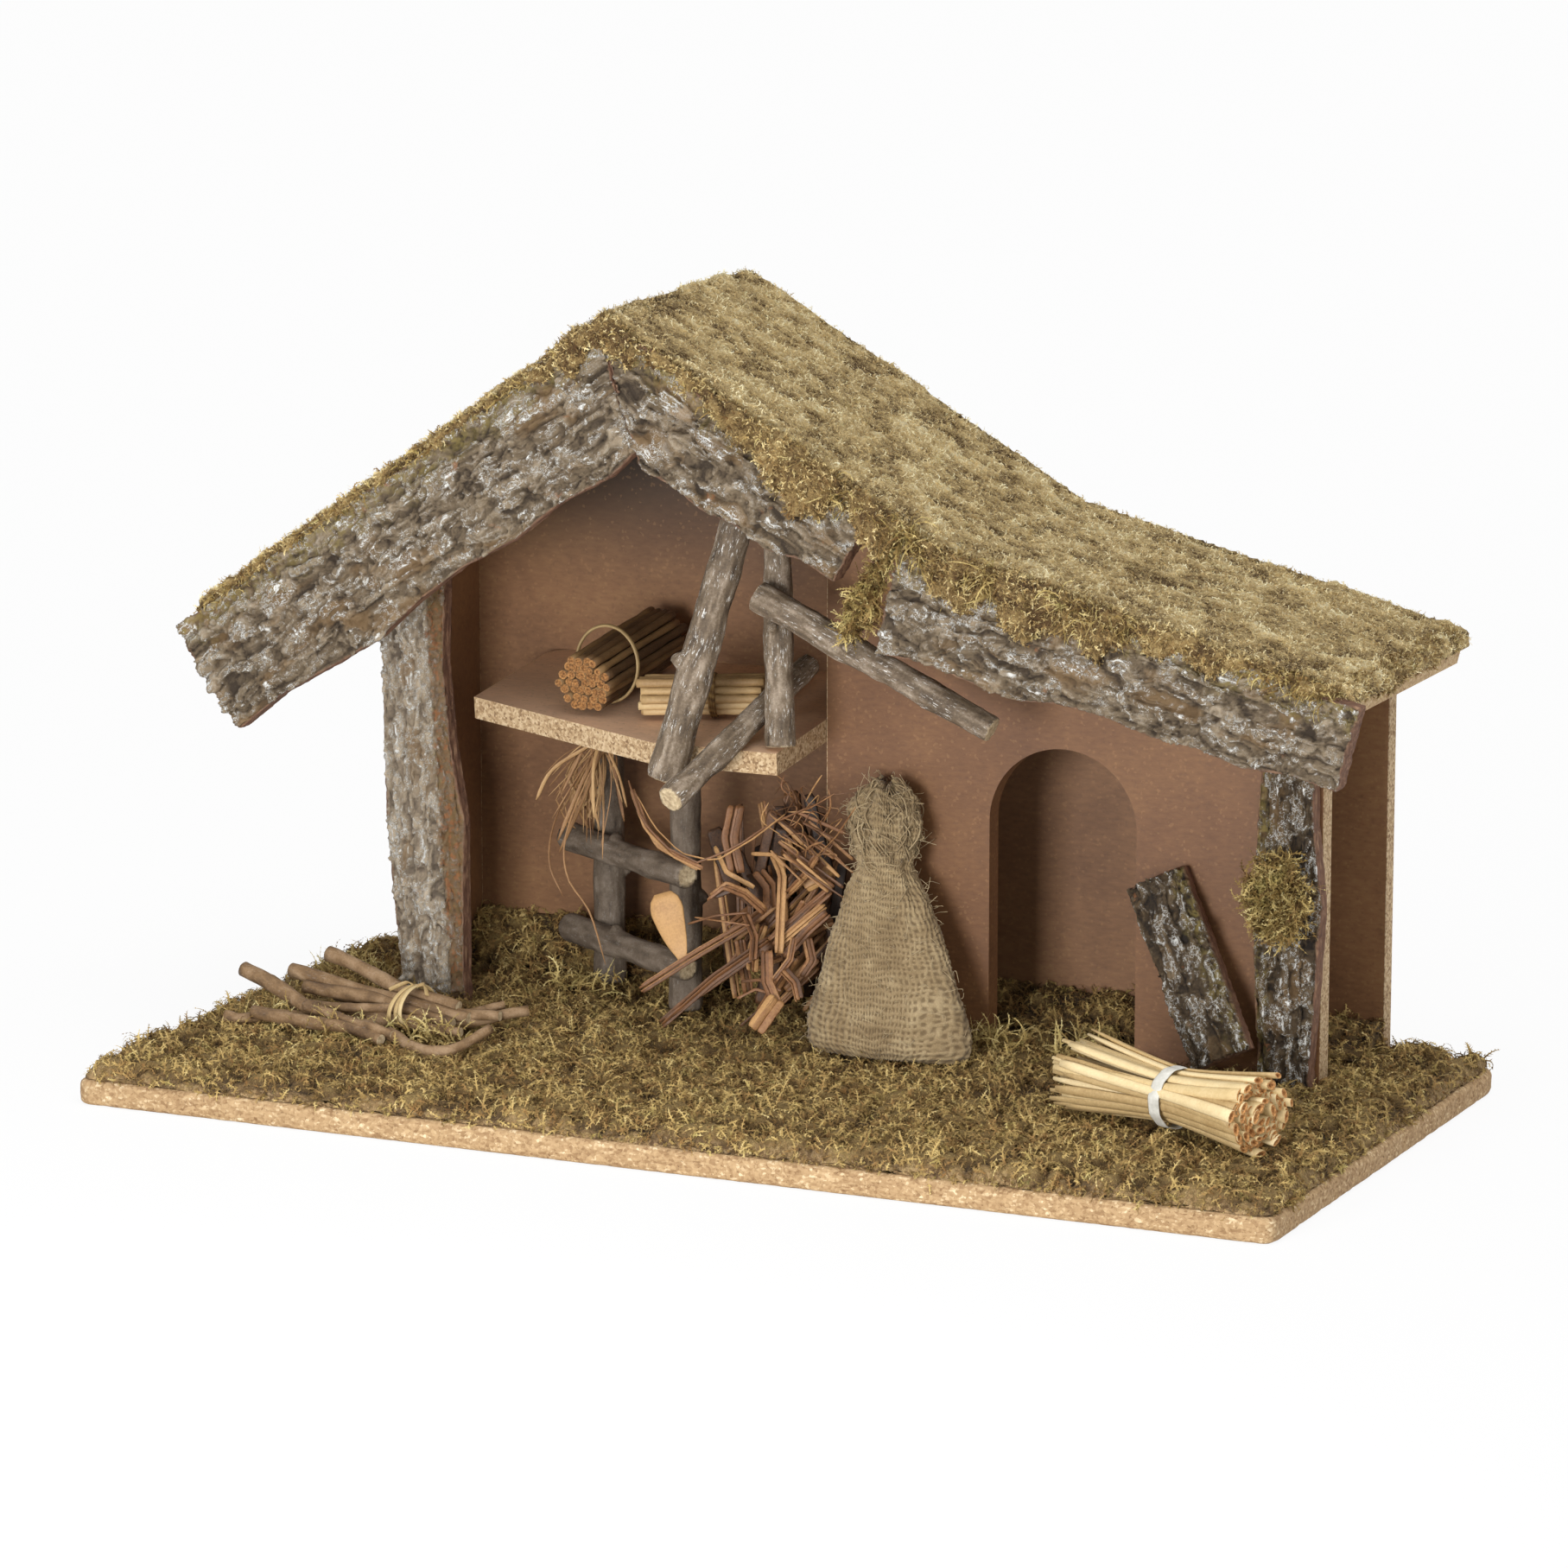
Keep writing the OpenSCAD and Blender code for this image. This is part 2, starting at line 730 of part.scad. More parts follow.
// The eave twig crosses in front of the short twig, under the eave
eave_twig_share = 0.52;
eave_twig_start_gap = 8;
eave_twig_l = 109;
eave_twig_fall = 24.5;
eave_twig_stub_angle = 250;
eave_twig_mid = short_twig_foot + (short_twig_top - short_twig_foot) * eave_twig_share;
eave_twig_start = [
    panel_left - eave_twig_start_gap,
    eave_twig_mid[1] - (short_twig_r + eave_twig_r) * side_share - seat,
    eave_twig_mid[2]
];

module eave_twig() {
    color("slategray")
        twig(eave_twig_start, eave_twig_start + eave_twig_l * [cos(eave_twig_fall), 0, -sin(eave_twig_fall)],
            eave_twig_r, eave_twig_stub_angle);
}

// Hay: a bunch that stands on the moss between the rack and the panel
hay_w = 34;
hay_d = 30;
hay_side_gap = 12;
hay_shares = [
    [0, 0.62], [0.06, 0.9], [0.2, 1], [0.34, 0.82], [0.46, 0.62], [0.58, 0.72], [0.74, 0.98],
    [0.88, 0.9], [0.96, 0.66], [1, 0.3]
];
hay_place = [panel_left - hay_side_gap - hay_w / 2, panel_face - hay_d / 3];

module hay_bunch() {
    high = shelf_under(hay_place[1] - hay_d / 2) - seat - moss_top;
    color("peru")
        translate([hay_place[0], hay_place[1], moss_top])
            soft_loft([for (s = hay_shares) [high * s[0], hay_w / 2 * s[1], hay_d / 2 * s[1]]], 20);
}

// Hay rack: two posts under the shelf, and two rungs in front of them
rack_angle = -32.3;
rack_inset = 38;
rack_hay_gap = 18;
rack_post_stub_angle = 20;
rack_rung_stub_angle = 180;
rack_left = [shelf_left + rack_inset, wall_face - bank_room_d - rack_post_r - 2 * seat];
rack_along = [cos(rack_angle), sin(rack_angle)];
rack_out = [sin(rack_angle), -cos(rack_angle)];
rack_w = (hay_place[0] - hay_w / 2 - rack_hay_gap - rack_left[0]) / cos(rack_angle);
rack_right = rack_left + rack_w * rack_along;
rung_left_end = 14;
rung_right_end = 18;

module rack_post(place) {
    top = shelf_under(place[1] - rack_post_r) - seat;
    color("dimgray")
        twig([place[0], place[1], moss_top], [place[0], place[1], top], rack_post_r, rack_post_stub_angle);
}

module rack_post_left() {
    rack_post(rack_left);
}

module rack_post_right() {
    rack_post(rack_right);
}

module rack_rung(high) {
    start = rack_left + ((rack_post_r + rack_rung_r) * side_share + seat) * rack_out
        - rung_left_end * rack_along;
    end = start + (rack_w + rung_left_end + rung_right_end) * rack_along;
    color("dimgray")
        twig([start[0], start[1], moss_top + high], [end[0], end[1], moss_top + high],
            rack_rung_r, rack_rung_stub_angle);
}

module rack_rung_lower() {
    rack_rung(rung_low_h);
}

module rack_rung_upper() {
    rack_rung(rung_high_h);
}

// A wisp of hay stands on the upper rung, against the left post
hay_wisp_w = 13;
hay_wisp_h_share = 0.72;
hay_wisp_shares = [[0, 0.4], [0.2, 0.8], [0.5, 1], [0.8, 0.75], [1, 0.35]];

module hay_wisp() {
    place = rack_left + (rack_post_r * side_share + hay_wisp_w / 2 + seat) * rack_out;
    foot = moss_top + rung_high_h + rack_rung_r * side_share + 2 * seat;
    high = (shelf_under(place[1] - hay_wisp_w / 2) - foot) * hay_wisp_h_share;
    color("tan")
        translate([place[0], place[1], foot])
            soft_loft([for (s = hay_wisp_shares)
                [high * s[0], hay_wisp_w / 2 * s[1], hay_wisp_w / 2 * s[1]]], 14);
}

// Bundles. Reeds lie along +X in rings round a middle one, a little closer than they are thick,
// and their ends are uneven by the shares below.
bundle_pitch = 1.84;
end_shares = [0, 0.6, 0.25, 0.85, 0.4, 1, 0.1];
function bundle_places(rings) = concat([[0, 0]],
    [for (k = [1 : rings], i = [0 : 6 * k - 1])
        let (side = floor(i / k), step = i % k, a = 60 * side, b = 60 * (side + 2))
            [k * cos(a) + step * cos(b), k * sin(a) + step * sin(b)]]);
function bundle_radius(rings, r) = r * (rings * bundle_pitch + 1);

module bundle(long, r, rings, uneven) {
    places = bundle_places(rings);
    for (i = [0 : last(places)]) {
        start = uneven * end_shares[i % 7];
        end = long - uneven * end_shares[(i * 3 + 2) % 7];
        translate([start, places[i][0] * r * bundle_pitch, places[i][1] * r * bundle_pitch])
            rotate([0, 90, 0])
                cylinder(h = end - start, r = r, $fn = 24);
    }
}

module band(inner_r, wide, thick) {
    rotate([0, 90, 0])
        difference() {
            cylinder(h = wide, r = inner_r + thick, center = true);
            cylinder(h = wide + overrun, r = inner_r, center = true);
        }
}

// Carries what lies on the shelf; X runs to the right from the shelf's left edge, and -Y is
// the way down its slope to the front
module on_shelf(right, forward, turn, lift) {
    translate([shelf_left, wall_face, shelf_h])
        rotate([shelf_tilt, 0, 0])
            translate([right, -forward, lift])
                rotate([0, 0, turn])
                    children();
}

reed_ring_count = 3;
reed_uneven = 4;
reed_place_share = 0.38;
reed_forward = 90;
reed_band_at = 24;
reed_band_w = 1.6;
reed_band_t = 1.2;
reed_bundle_r = bundle_radius(reed_ring_count, reed_r);

module at_reeds() {
    on_shelf(shelf_w * reed_place_share, reed_forward, 90, reed_bundle_r + reed_band_t + 2 * seat)
        children();
}

module reed_bundle() {
    color("saddlebrown")
        at_reeds()
            bundle(reed_l, reed_r, reed_ring_count, reed_uneven);
}

module reed_band() {
    color("khaki")
        at_reeds()
            translate([reed_band_at, 0, 0])
                band(reed_bundle_r + seat, reed_band_w, reed_band_t);
}

stick_ring_count = 2;
stick_uneven = 3;
stick_place_share = 0.52;
stick_forward = 82;
stick_angle = 18;
stick_band_w = 3;
stick_band_t = 0.8;
stick_band_share = 0.58;
stick_bundle_r = bundle_radius(stick_ring_count, stick_r);

module at_sticks() {
    lift = stick_bundle_r + stick_band_t + 2 * seat;
    on_shelf(shelf_w * stick_place_share, stick_forward, stick_angle, lift)
        children();
}

module stick_bundle() {
    color("wheat")
        at_sticks()
            bundle(stick_l, stick_r, stick_ring_count, stick_uneven);
}

module stick_band() {
    color("saddlebrown")
        at_sticks()
            translate([stick_l * stick_band_share, 0, 0])
                band(stick_bundle_r + seat, stick_band_w, stick_band_t);
}

// The sheaf spreads from its waist to both ends
sheaf_ring_count = 3;
sheaf_from_right = 66;
sheaf_from_front = 70;
sheaf_middle = [base_w / 2 - sheaf_from_right, -base_d / 2 + sheaf_from_front];
sheaf_angle = -21;
sheaf_band_w = 6;
sheaf_band_t = 0.6;
sheaf_waist_share = 0.54;
sheaf_waist_r = bundle_radius(sheaf_ring_count, straw_r);

module sheaf_half(long) {
    rotate([0, 90, 0])
        linear_extrude(long, scale = sheaf_flare)
            for (p = bundle_places(sheaf_ring_count))
                translate(p * straw_r * bundle_pitch)
                    circle(straw_r, $fn = 9);
}

module at_sheaf_waist() {
    translate([sheaf_middle[0], sheaf_middle[1], moss_top + sheaf_waist_r * sheaf_flare + seat])
        rotate([0, 0, sheaf_angle])
            children();
}

module straw_sheaf() {
    color("burlywood")
        at_sheaf_waist() {
            sheaf_half(sheaf_l * (1 - sheaf_waist_share));
            mirror([1, 0, 0])
                sheaf_half(sheaf_l * sheaf_waist_share);
        }
}

module sheaf_band() {
    color("whitesmoke")
        at_sheaf_waist()
            band(sheaf_waist_r * (1 + (sheaf_flare - 1) * sheaf_band_w / sheaf_l) + seat,
                sheaf_band_w, sheaf_band_t);
}

// Firewood: sticks that cross at their tie. Shares of each stick are its turn, its place across
// the tie, its height, its start and its end.
firewood_fan = 11;
firewood_inset = 31;
firewood_forward = 64;
firewood_middle = [house_left + firewood_inset, panel_face - firewood_forward];
firewood_angle = -4;
firewood_shares = [
    [-1, -0.9, 0, -0.46, 0.5], [-0.55, -0.35, 0.06, -0.52, 0.42], [0.1, 0.25, 0, -0.5, 0.48],
    [0.6, 0.85, 0.04, -0.44, 0.46], [1, 0.1, 0.62, -0.48, 0.4], [-0.3, 0.6, 0.6, -0.5, 0.44],
    [0.4, -0.5, 0.66, -0.42, 0.5], [0, 0, 1.2, -0.45, 0.38]
];
firewood_tie_w = 3;
firewood_tie_t = 1.2;
// Half width, half height and middle of the tie's hoop, as shares of a stick's radius
tie_shares = [3.3, 2.3, 1.2];

module at_firewood() {
    lift = firewood_r * (tie_shares[1] - tie_shares[2]) + firewood_tie_t + 2 * seat;
    translate([firewood_middle[0], firewood_middle[1], moss_top + lift])
        rotate([0, 0, firewood_angle])
            children();
}

module firewood_bundle() {
    color("sienna")
        at_firewood()
            for (s = firewood_shares)
                translate([0, firewood_r * 2 * s[1], firewood_r * 2 * s[2]])
                    rotate([0, 90, firewood_fan * s[0]])
                        translate([0, 0, firewood_l * s[3]])
                            cylinder(h = firewood_l * (s[4] - s[3]), r = firewood_r, $fn = 9);
}

// The tie is a flattened hoop round the crossing of the sticks
module firewood_tie() {
    color("khaki")
        at_firewood()
            translate([0, 0, firewood_r * tie_shares[2]])
                rotate([90, 0, 90])
                    linear_extrude(firewood_tie_w, center = true)
                        difference() {
                            tie_hoop(firewood_tie_t);
                            tie_hoop(0);
                        }
}

module tie_hoop(out) {
    half = [firewood_r * tie_shares[0] + seat + out, firewood_r * tie_shares[1] + seat + out];
    corner = firewood_r;
    square([2 * half[0], 2 * (half[1] - corner)], center = true);
    square([2 * (half[0] - corner), 2 * half[1]], center = true);
    for (x = [-1, 1], y = [-1, 1])
        translate([x * (half[0] - corner), y * (half[1] - corner)])
            circle(corner);
}

// Sack: shares of its rings are height, half width and half depth, and its head leans on the
// arch panel
sack_shares = [
    [0, 0.78, 0.5], [0.02, 0.92, 0.7], [0.07, 1, 0.9], [0.2, 0.99, 1], [0.4, 0.88, 1],
    [0.6, 0.72, 0.92], [0.8, 0.5, 0.8]
];
head_shares = [[0.12, 1.05, 1], [0.3, 1.35, 1.1], [0.6, 1.6, 1.25], [0.86, 1.5, 1.2], [1, 0.9, 0.8]];
sack_lean = [-0.12, 0.23];
sack_gap = 9;
sack_tie_r = 1.1;
sack_rings = concat(
    [for (s = sack_shares) [sack_neck_h * s[0], sack_w / 2 * s[1], sack_t / 2 * s[2]]],
    [[sack_neck_h - sack_tie_r * 2, sack_neck_r, sack_neck_r],
        [sack_neck_h + sack_tie_r * 2, sack_neck_r, sack_neck_r]],
    [for (s = head_shares)
        [sack_neck_h + sack_head_h * s[0], sack_neck_r * s[1], sack_neck_r * s[2]]]
);
sack_reach = max([for (ring = sack_rings) sack_lean[1] * ring[0] + ring[2]]);

module at_sack() {
    translate([panel_left + sack_gap + sack_w / 2, panel_face - sack_reach - seat, moss_top])
        children();
}

module sack() {
    color("tan")
        at_sack()
            soft_loft(sack_rings, 28, sack_lean);
}

module sack_tie() {
    color("tan")
        at_sack()
            translate([sack_lean[0] * sack_neck_h, sack_lean[1] * sack_neck_h, sack_neck_h])
                rotate_extrude()
                    translate([sack_neck_r + seat + sack_tie_r, 0])
                        circle(sack_tie_r, $fn = 16);
}

base_board();
ground_moss();
moss_bank_room();
moss_bank_bay();
back_wall();
left_wall();
arch_panel();
loft_shelf();
roof_board_left();
roof_board_middle();
roof_board_low();
roof_moss_left();
roof_moss_middle();
roof_moss_low();
eave_moss_clump();
fascia_left();
fascia_middle();
fascia_right();
left_post();
right_post();
leaning_plank();
post_moss_clump();
long_twig();
short_twig();
cross_twig();
eave_twig();
rack_post_left();
rack_post_right();
rack_rung_upper();
rack_rung_lower();
hay_bunch();
hay_wisp();
reed_bundle();
reed_band();
stick_bundle();
stick_band();
straw_sheaf();
sheaf_band();
firewood_bundle();
firewood_tie();
sack();
sack_tie();
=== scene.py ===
"""Wooden nativity stable: materials for its boards, and bark, twigs, moss and farm things over them."""
import itertools
import math

import bpy
import numpy as np
from mathutils import Color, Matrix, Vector
from mathutils.bvhtree import BVHTree


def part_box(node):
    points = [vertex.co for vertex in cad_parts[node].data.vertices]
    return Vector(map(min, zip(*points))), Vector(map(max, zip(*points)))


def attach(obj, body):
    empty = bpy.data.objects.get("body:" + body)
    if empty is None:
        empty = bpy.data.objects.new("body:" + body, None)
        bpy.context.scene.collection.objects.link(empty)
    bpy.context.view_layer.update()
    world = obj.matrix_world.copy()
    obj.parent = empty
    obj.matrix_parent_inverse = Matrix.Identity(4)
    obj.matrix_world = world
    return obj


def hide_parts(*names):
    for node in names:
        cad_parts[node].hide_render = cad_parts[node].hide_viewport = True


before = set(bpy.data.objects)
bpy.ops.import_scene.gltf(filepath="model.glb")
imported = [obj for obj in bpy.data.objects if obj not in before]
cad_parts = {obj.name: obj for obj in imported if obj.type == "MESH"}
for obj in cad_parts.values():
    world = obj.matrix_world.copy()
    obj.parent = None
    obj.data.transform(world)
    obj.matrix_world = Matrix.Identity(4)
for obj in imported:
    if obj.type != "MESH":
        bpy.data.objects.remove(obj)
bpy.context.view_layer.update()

bl_info = {
    "name": "Nativity stable",
    "version": (1, 0, 0),
    "blender": (4, 5, 0),
    "location": "View3D > Sidebar > Stable",
    "description": "Dresses the packed stable with bark, moss, twigs, hay, bundles and a burlap sack",
    "category": "Object",
}

MM = 0.001
ROOT = "root"
SEED = 11
NOISE_TABLE = 48
UV_NAME = "OFBake"


# Colours and shader maths

def shade(red, green, blue):
    """A display colour, given from 0 to 255, as the linear colour that a shader wants."""
    shares = [value / 255 for value in (red, green, blue)]
    return tuple(s / 12.92 if s <= 0.04045 else ((s + 0.055) / 1.055) ** 2.4 for s in shares) + (1.0,)


def linear(colour, lighter=0):
    """A shader's colour from a user's property, or from a display colour made lighter."""
    if isinstance(colour, Color):
        return tuple(colour) + (1.0,)
    return shade(*[part + lighter for part in colour])


class Wire:
    """A socket that takes part in Python arithmetic; each step adds one Math node."""

    def __init__(self, finish, socket):
        self.finish = finish
        self.socket = socket

    def maths(self, operation, *values):
        return self.finish.wire(0, "ShaderNodeMath", {"operation": operation}, dict(enumerate(values)))

    def __add__(self, other):
        return self.maths("ADD", self, other)

    def __sub__(self, other):
        return self.maths("SUBTRACT", self, other)

    def __rsub__(self, other):
        return self.maths("SUBTRACT", other, self)

    def __mul__(self, other):
        return self.maths("MULTIPLY", self, other)

    def __gt__(self, other):
        return self.maths("GREATER_THAN", self, other)

    def __lt__(self, other):
        return self.maths("LESS_THAN", self, other)

    def __abs__(self):
        return self.maths("ABSOLUTE", self)

    __radd__ = __add__
    __rmul__ = __mul__

    def top(self, other):
        return self.maths("MAXIMUM", self, other)

    def between(self, low, high):
        """0 below low, 1 above high, and smooth between; falls where low is the larger."""
        settings = {"interpolation_type": "SMOOTHSTEP"}
        places = {"Value": self, "From Min": low, "From Max": high}
        return self.finish.wire("Result", "ShaderNodeMapRange", settings, places)


class Finish:
    """One material: its Principled shader and the nodes that feed it."""

    def __init__(self, name, **constants):
        self.material = bpy.data.materials.new(name)
        self.material.use_nodes = True
        self.tree = self.material.node_tree
        self.shader = self.tree.nodes["Principled BSDF"]
        for socket, value in constants.items():
            self.shader.inputs[socket.replace("_", " ")].default_value = value

    def join(self, value, socket):
        if isinstance(value, Wire):
            self.tree.links.new(value.socket, socket)
        else:
            socket.default_value = value

    def node(self, kind, settings=None, values=None):
        made = self.tree.nodes.new(kind)
        for name, value in (settings or {}).items():
            setattr(made, name, value)
        for socket, value in (values or {}).items():
            self.join(value, made.inputs[socket])
        return made

    def wire(self, output, kind, settings=None, values=None):
        """A new node's output."""
        return Wire(self, self.node(kind, settings, values).outputs[output])

    def where(self, stretch=(1, 1, 1)):
        """The point on the object in metres, stretched for a grain."""
        values = {"Vector": self.wire("Object", "ShaderNodeTexCoord"), "Scale": stretch}
        return self.wire("Vector", "ShaderNodeMapping", None, values)

    def along(self, axis):
        """The X, Y or Z place on the object in metres."""
        values = {"Vector": self.wire("Object", "ShaderNodeTexCoord")}
        return self.wire(axis, "ShaderNodeSeparateXYZ", None, values)

    def noise(self, size, detail=3.0, rough=0.55, where=None):
        """Noise from 0 to 1 with lumps of about size metres."""
        values = {"Vector": where or self.where(), "Scale": 1 / size, "Detail": detail, "Roughness": rough}
        return self.wire("Fac", "ShaderNodeTexNoise", None, values)

    def flakes(self, size, where=None):
        """A random number for each cell of about size metres."""
        values = {"Vector": where or self.where(), "Scale": 1 / size}
        colour = self.wire("Color", "ShaderNodeTexVoronoi", None, values)
        return self.wire("Red", "ShaderNodeSeparateColor", None, {"Color": colour})

    def mark(self, name):
        """A number that the mesh holds at each point."""
        return self.wire("Fac", "ShaderNodeAttribute", {"attribute_name": name})

    def point(self, x, y, z):
        """Three numbers as one vector."""
        return self.wire(0, "ShaderNodeCombineXYZ", None, {0: x, 1: y, 2: z})

    def mix(self, factor, first, second):
        """From the first colour to the second, which may be a plain one."""
        values = {0: factor, 6: first, 7: second if isinstance(second, Wire) else linear(second)}
        return self.wire(2, "ShaderNodeMix", {"data_type": "RGBA"}, values)

    def ramp(self, factor, *stops, lighter=0):
        """A colour for each factor, from stops of a place and a colour."""
        made = self.node("ShaderNodeValToRGB", None, {"Fac": factor})
        points = made.color_ramp.elements
        while len(points) < len(stops):
            points.new(0.5)
        for point, (place, colour) in zip(points, stops):
            point.position = place
            point.color = linear(colour, lighter)
        return Wire(self, made.outputs["Color"])

    def finish(self, colour, roughness=None, height=None, depth=0.4 * MM, strength=0.7):
        """Feeds the shader, with a bump where a height is given, and returns the material."""
        self.join(colour, self.shader.inputs["Base Color"])
        if roughness is not None:
            self.join(roughness, self.shader.inputs["Roughness"])
        if height is not None:
            values = {"Height": height, "Distance": depth, "Strength": strength}
            bump = self.wire("Normal", "ShaderNodeBump", None, values)
            self.join(bump, self.shader.inputs["Normal"])
        return self.material


# Shape maths on arrays of points, in metres

def ripple(places, size, seed):
    """Smooth noise from -1 to 1 with lumps of about size."""
    table = np.random.default_rng(seed).uniform(-1, 1, (NOISE_TABLE, NOISE_TABLE, NOISE_TABLE))
    grid = places / size
    low = np.floor(grid).astype(int)
    part = grid - low
    part = part * part * (3 - 2 * part)
    total = np.zeros(len(places))
    for corner in itertools.product((0, 1), repeat=3):
        weight = np.prod(np.where(corner, part, 1 - part), axis=1)
        i, j, k = ((low + corner) % NOISE_TABLE).T
        total += weight * table[i, j, k]
    return total


def rough(places, size, seed, layers=3):
    """Ripples of halving size and strength, from about -1 to 1."""
    return sum(ripple(places, size / 2 ** k, seed + k) / 1.7 ** k for k in range(layers)) / 1.6


def smooth(value, low, high):
    """0 below low, 1 above high, and smooth between."""
    share = np.clip((value - low) / (high - low), 0, 1)
    return share * share * (3 - 2 * share)


def lumps(places, size, seed):
    """Uneven rounded lumps of about size, from 0 in the creases between them to 1."""
    small = np.abs(ripple(places, size / 2, seed + 1)) * 0.6
    return np.clip(np.abs(ripple(places, size, seed)) * 1.7 + small, 0, 1)


def cells(flat, seed):
    """For points on a plane cut in uneven cells about 1 across: how far each is from its cell's edge, its
    offset from the cell's middle, and the cell's three random numbers."""
    table = np.random.default_rng(seed).random((NOISE_TABLE, NOISE_TABLE, 5))
    low = np.floor(flat).astype(int)
    far_off = 9.0
    near = np.full(len(flat), far_off)
    second = np.full(len(flat), far_off)
    offset = np.zeros_like(flat)
    luck = np.zeros((len(flat), 3))
    for step in itertools.product((-1, 0, 1), repeat=2):
        spot = low + step
        drawn = table[spot[:, 0] % NOISE_TABLE, spot[:, 1] % NOISE_TABLE]
        away = flat - (spot + 0.15 + 0.7 * drawn[:, :2])
        gap = np.linalg.norm(away, axis=1)
        closer = gap < near
        second = np.where(closer, near, np.minimum(second, gap))
        offset[closer] = away[closer]
        luck[closer] = drawn[closer, 2:]
        near = np.where(closer, gap, near)
    return second - near, offset, luck


def unit(vectors):
    """Each vector at length 1."""
    return vectors / np.maximum(np.linalg.norm(vectors, axis=-1, keepdims=True), 1e-12)


def turned(vectors, axes, angles):
    """Each vector turned round its own unit axis."""
    cos, sin = np.cos(angles)[:, None], np.sin(angles)[:, None]
    lean = np.sum(vectors * axes, axis=1, keepdims=True)
    return vectors * cos + np.cross(axes, vectors) * sin + axes * lean * (1 - cos)


def sideways(directions, rng):
    """A random unit vector square to each direction."""
    return unit(np.cross(directions, rng.normal(size=directions.shape)))


def smooth_path(points, count):
    """An even-looking curve through a few points."""
    points = np.asarray(points, float)
    if len(points) == 2:
        share = np.linspace(0, 1, count)[:, None]
        return points[0] * (1 - share) + points[1] * share
    padded = np.vstack([2 * points[0] - points[1], points, 2 * points[-1] - points[-2]])
    spots = np.linspace(0, len(points) - 1 - 1e-9, count)
    i = spots.astype(int)
    t = (spots - i)[:, None]
    a, b, c, d = padded[i], padded[i + 1], padded[i + 2], padded[i + 3]
    curved = 2 * a - 5 * b + 4 * c - d
    twisted = 3 * b - a - 3 * c + d
    return 0.5 * (2 * b + (c - a) * t + curved * t ** 2 + twisted * t ** 3)


def travelled(corners):
    """How far along a line each of its corners is."""
    return np.concatenate([[0], np.cumsum(np.linalg.norm(np.diff(corners, axis=0), axis=1))])


def walked(corners, travel):
    """The points at some distances along a line."""
    gaps = travelled(corners)
    return np.stack([np.interp(travel, gaps, side) for side in corners.T], axis=1)


def circle(count):
    """Even angles round a circle."""
    return np.linspace(0, 2 * math.pi, count, endpoint=False)


def between_rings(low, high):
    """Four-cornered faces between rings of point numbers, closed round along the last axis."""
    return np.stack([low, np.roll(low, -1, -1), np.roll(high, -1, -1), high], axis=-1).reshape(-1, 4)


def ring_faces(rings, around):
    """The faces between rings of points that follow one another, and every point's number."""
    index = np.arange(rings * around).reshape(rings, around)
    return between_rings(index[:-1], index[1:]), index


# Meshes and pieces

def skinned(node, voxel):
    """A CAD node's surface in small even faces: places, normals and four-cornered faces."""
    copy = bpy.data.objects.new("skin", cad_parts[node].data.copy())
    bpy.context.scene.collection.objects.link(copy)
    remesh = copy.modifiers.new("even", "REMESH")
    remesh.mode = "VOXEL"
    remesh.voxel_size = voxel
    remesh.adaptivity = 0
    evaluated = copy.evaluated_get(bpy.context.evaluated_depsgraph_get())
    mesh = evaluated.to_mesh()
    places = np.empty(len(mesh.vertices) * 3, np.float32)
    mesh.vertices.foreach_get("co", places)
    corners = np.empty(len(mesh.loops), np.int32)
    mesh.loops.foreach_get("vertex_index", corners)
    evaluated.to_mesh_clear()
    bpy.data.objects.remove(copy)
    places = places.reshape(-1, 3).astype(float)
    faces = corners.reshape(-1, 4)
    return places, point_normals(places, faces), faces


def point_normals(places, faces):
    """The direction out of a surface at each point of it."""
    across = np.cross(places[faces[:, 2]] - places[faces[:, 0]], places[faces[:, 3]] - places[faces[:, 1]])
    normals = np.zeros_like(places)
    for k in range(4):
        np.add.at(normals, faces[:, k], across)
    return unit(normals)


def piece(name, places, groups, material, nodes=(), marks=None, uv=None):
    """Makes one visible piece, which rides on the body, takes the finish it is given and stands for nodes.
    groups holds faces, each array of them with as many corners as it has columns."""
    mesh = bpy.data.meshes.new(name)
    corners = np.concatenate([group.ravel() for group in groups]).astype(np.int32)
    counts = np.concatenate([np.full(len(group), group.shape[1]) for group in groups])
    mesh.vertices.add(len(places))
    mesh.vertices.foreach_set("co", places.astype(np.float32).ravel())
    mesh.loops.add(len(corners))
    mesh.loops.foreach_set("vertex_index", corners)
    mesh.polygons.add(len(counts))
    mesh.polygons.foreach_set("loop_start", (np.cumsum(counts) - counts).astype(np.int32))
    mesh.polygons.foreach_set("use_smooth", np.ones(len(counts), bool))
    mesh.update(calc_edges=True)
    for mark, values in (marks or {}).items():
        layer = mesh.attributes.new(mark, "FLOAT", "POINT")
        layer.data.foreach_set("value", np.asarray(values, np.float32))
    if uv is not None:
        layer = mesh.uv_layers.new(name=UV_NAME)
        layer.data.foreach_set("uv", uv[corners].astype(np.float32).ravel())
    mesh.materials.append(material)
    made = bpy.data.objects.new(name, mesh)
    bpy.context.scene.collection.objects.link(made)
    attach(made, ROOT)
    if nodes:
        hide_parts(*nodes)
    return made


